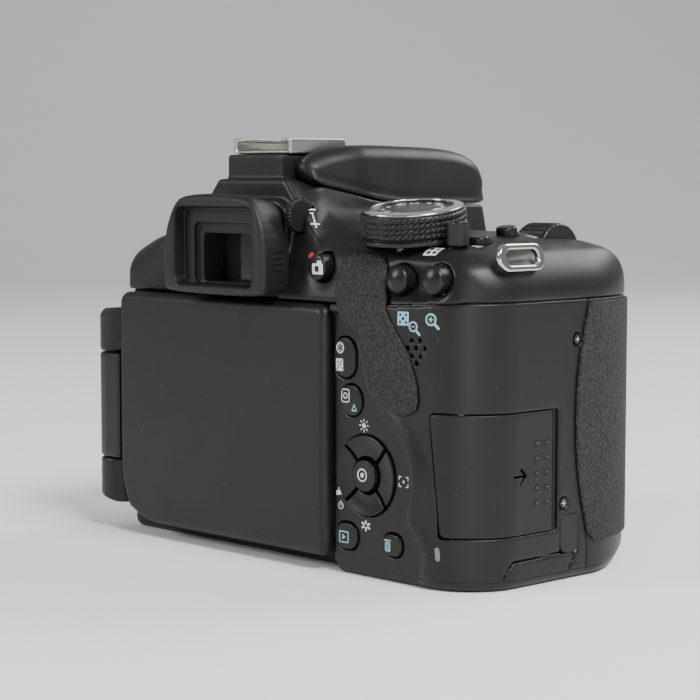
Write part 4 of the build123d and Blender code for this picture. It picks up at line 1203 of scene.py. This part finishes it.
def claw_field(p):
    x, y, z = p
    r, turn = np.hypot(x, z - LENS_Z), np.arctan2(z - LENS_Z, x)
    gap = np.abs(((turn / (2 * math.pi) * 3 + 0.25) % 1) - 0.5) * 2 * math.pi / 3 * 26 - 14.5
    return rmax(rmax(np.maximum(r - 27.02, 25.3 - r), np.abs(y + 28.6) - 0.7, 0.2), gap, 0.2)


skin("bayonet_claws", [], claw_field, (-27.4, -29.6, 11.6), (27.4, -27.6, 66.4), 0.24, "mount_steel")


def mat_field(p):
    """The dark mat behind the keys, seen through their gaps."""
    return box_field(p, (-57.0, 22.6, 4.4), (-34.9, 23.4, 55.0), 0.3)


skin("key_mat", [], mat_field, (-57.4, 22.2, 4), (-34.5, 23.8, 55.4), 0.3, "flap_rubber")

for node, piece in frame["nodes"].items():
    if not piece.hide_render:
        piece.data.materials.clear()
        piece.data.materials.append(LOOK[SLOT_OF[node]])


# ---- Room ----
def lamp(name, place, aim, size, power):
    data = bpy.data.lights.new(name, "AREA")
    data.shape = "RECTANGLE"
    data.size, data.size_y = size
    data.energy = power
    made = bpy.data.objects.new(name, data)
    made.location = place
    made.rotation_euler = (Vector(aim) - Vector(place)).to_track_quat("-Z", "Y").to_euler()
    bpy.context.scene.collection.objects.link(made)


lamp("key_light", (-0.75, 0.15, 0.85), (-0.02, 0, 0.05), (0.45, 0.35), 16)
lamp("fill_light", (0.55, 0.95, 0.55), (0, 0, 0.05), (0.4, 0.35), 7.5)
lamp("back_light", (-0.2, -0.9, 0.75), (0, 0, 0.06), (0.8, 0.4), 8)
lamp("low_light", (-0.75, 0.75, 0.16), (-0.02, 0.0, 0.05), (0.4, 0.3), 1.8)
world = bpy.data.worlds.new("studio")
world.use_nodes = True
world.node_tree.nodes["Background"].inputs[0].default_value = (0.82, 0.84, 0.87, 1)
world.node_tree.nodes["Background"].inputs[1].default_value = 0.34
bpy.context.scene.world = world


def sweep(name, profile, axis_a, axis_b, half):
    """A pale floor that curves up behind the object."""
    verts = []
    for along, up in profile:
        centre = axis_a * along + Vector((0, 0, up))
        verts += [tuple(centre - axis_b * half), tuple(centre + axis_b * half)]
    faces = [(2 * k, 2 * k + 1, 2 * k + 3, 2 * k + 2) for k in range(len(profile) - 1)]
    return add_piece(name, verts, faces)


AWAY = Vector((0.72086252, -0.68706828, 0)).normalized()
ACROSS = Vector((0.68706828, 0.72086252, 0)).normalized()
arc = [(-2.5, 0.0), (1.2, 0.0)]
for angle in range(6, 91, 6):
    arc.append((1.2 + 0.8 * math.sin(math.radians(angle)), 0.8 - 0.8 * math.cos(math.radians(angle))))
arc += [(2.0, 2.6)]
floor = sweep("floor", arc, AWAY, ACROSS, 3.0)
floor.data.materials.append(finish("floor_paper", (0.88, 0.88, 0.87), 0.75, 0.02, grain=1.2, tint=0.02))

camera_data = bpy.data.cameras.new("camera")
camera_data.lens, camera_data.sensor_width = 106.37, 36.0
camera_data.shift_y = 12.5 / 700
camera_data.clip_start = 0.01
camera = bpy.data.objects.new("camera", camera_data)
right, up = (-0.68993554, -0.72387081, 0.0), (0.06592554, -0.06283493, 0.99584416)
ahead = (0.72086252, -0.68706828, -0.09107363)
camera.matrix_world = Matrix((
    (right[0], up[0], -ahead[0], EYE[0] * MM), (right[1], up[1], -ahead[1], EYE[1] * MM),
    (right[2], up[2], -ahead[2], EYE[2] * MM), (0, 0, 0, 1)))
bpy.context.scene.collection.objects.link(camera)
bpy.context.scene.camera = camera
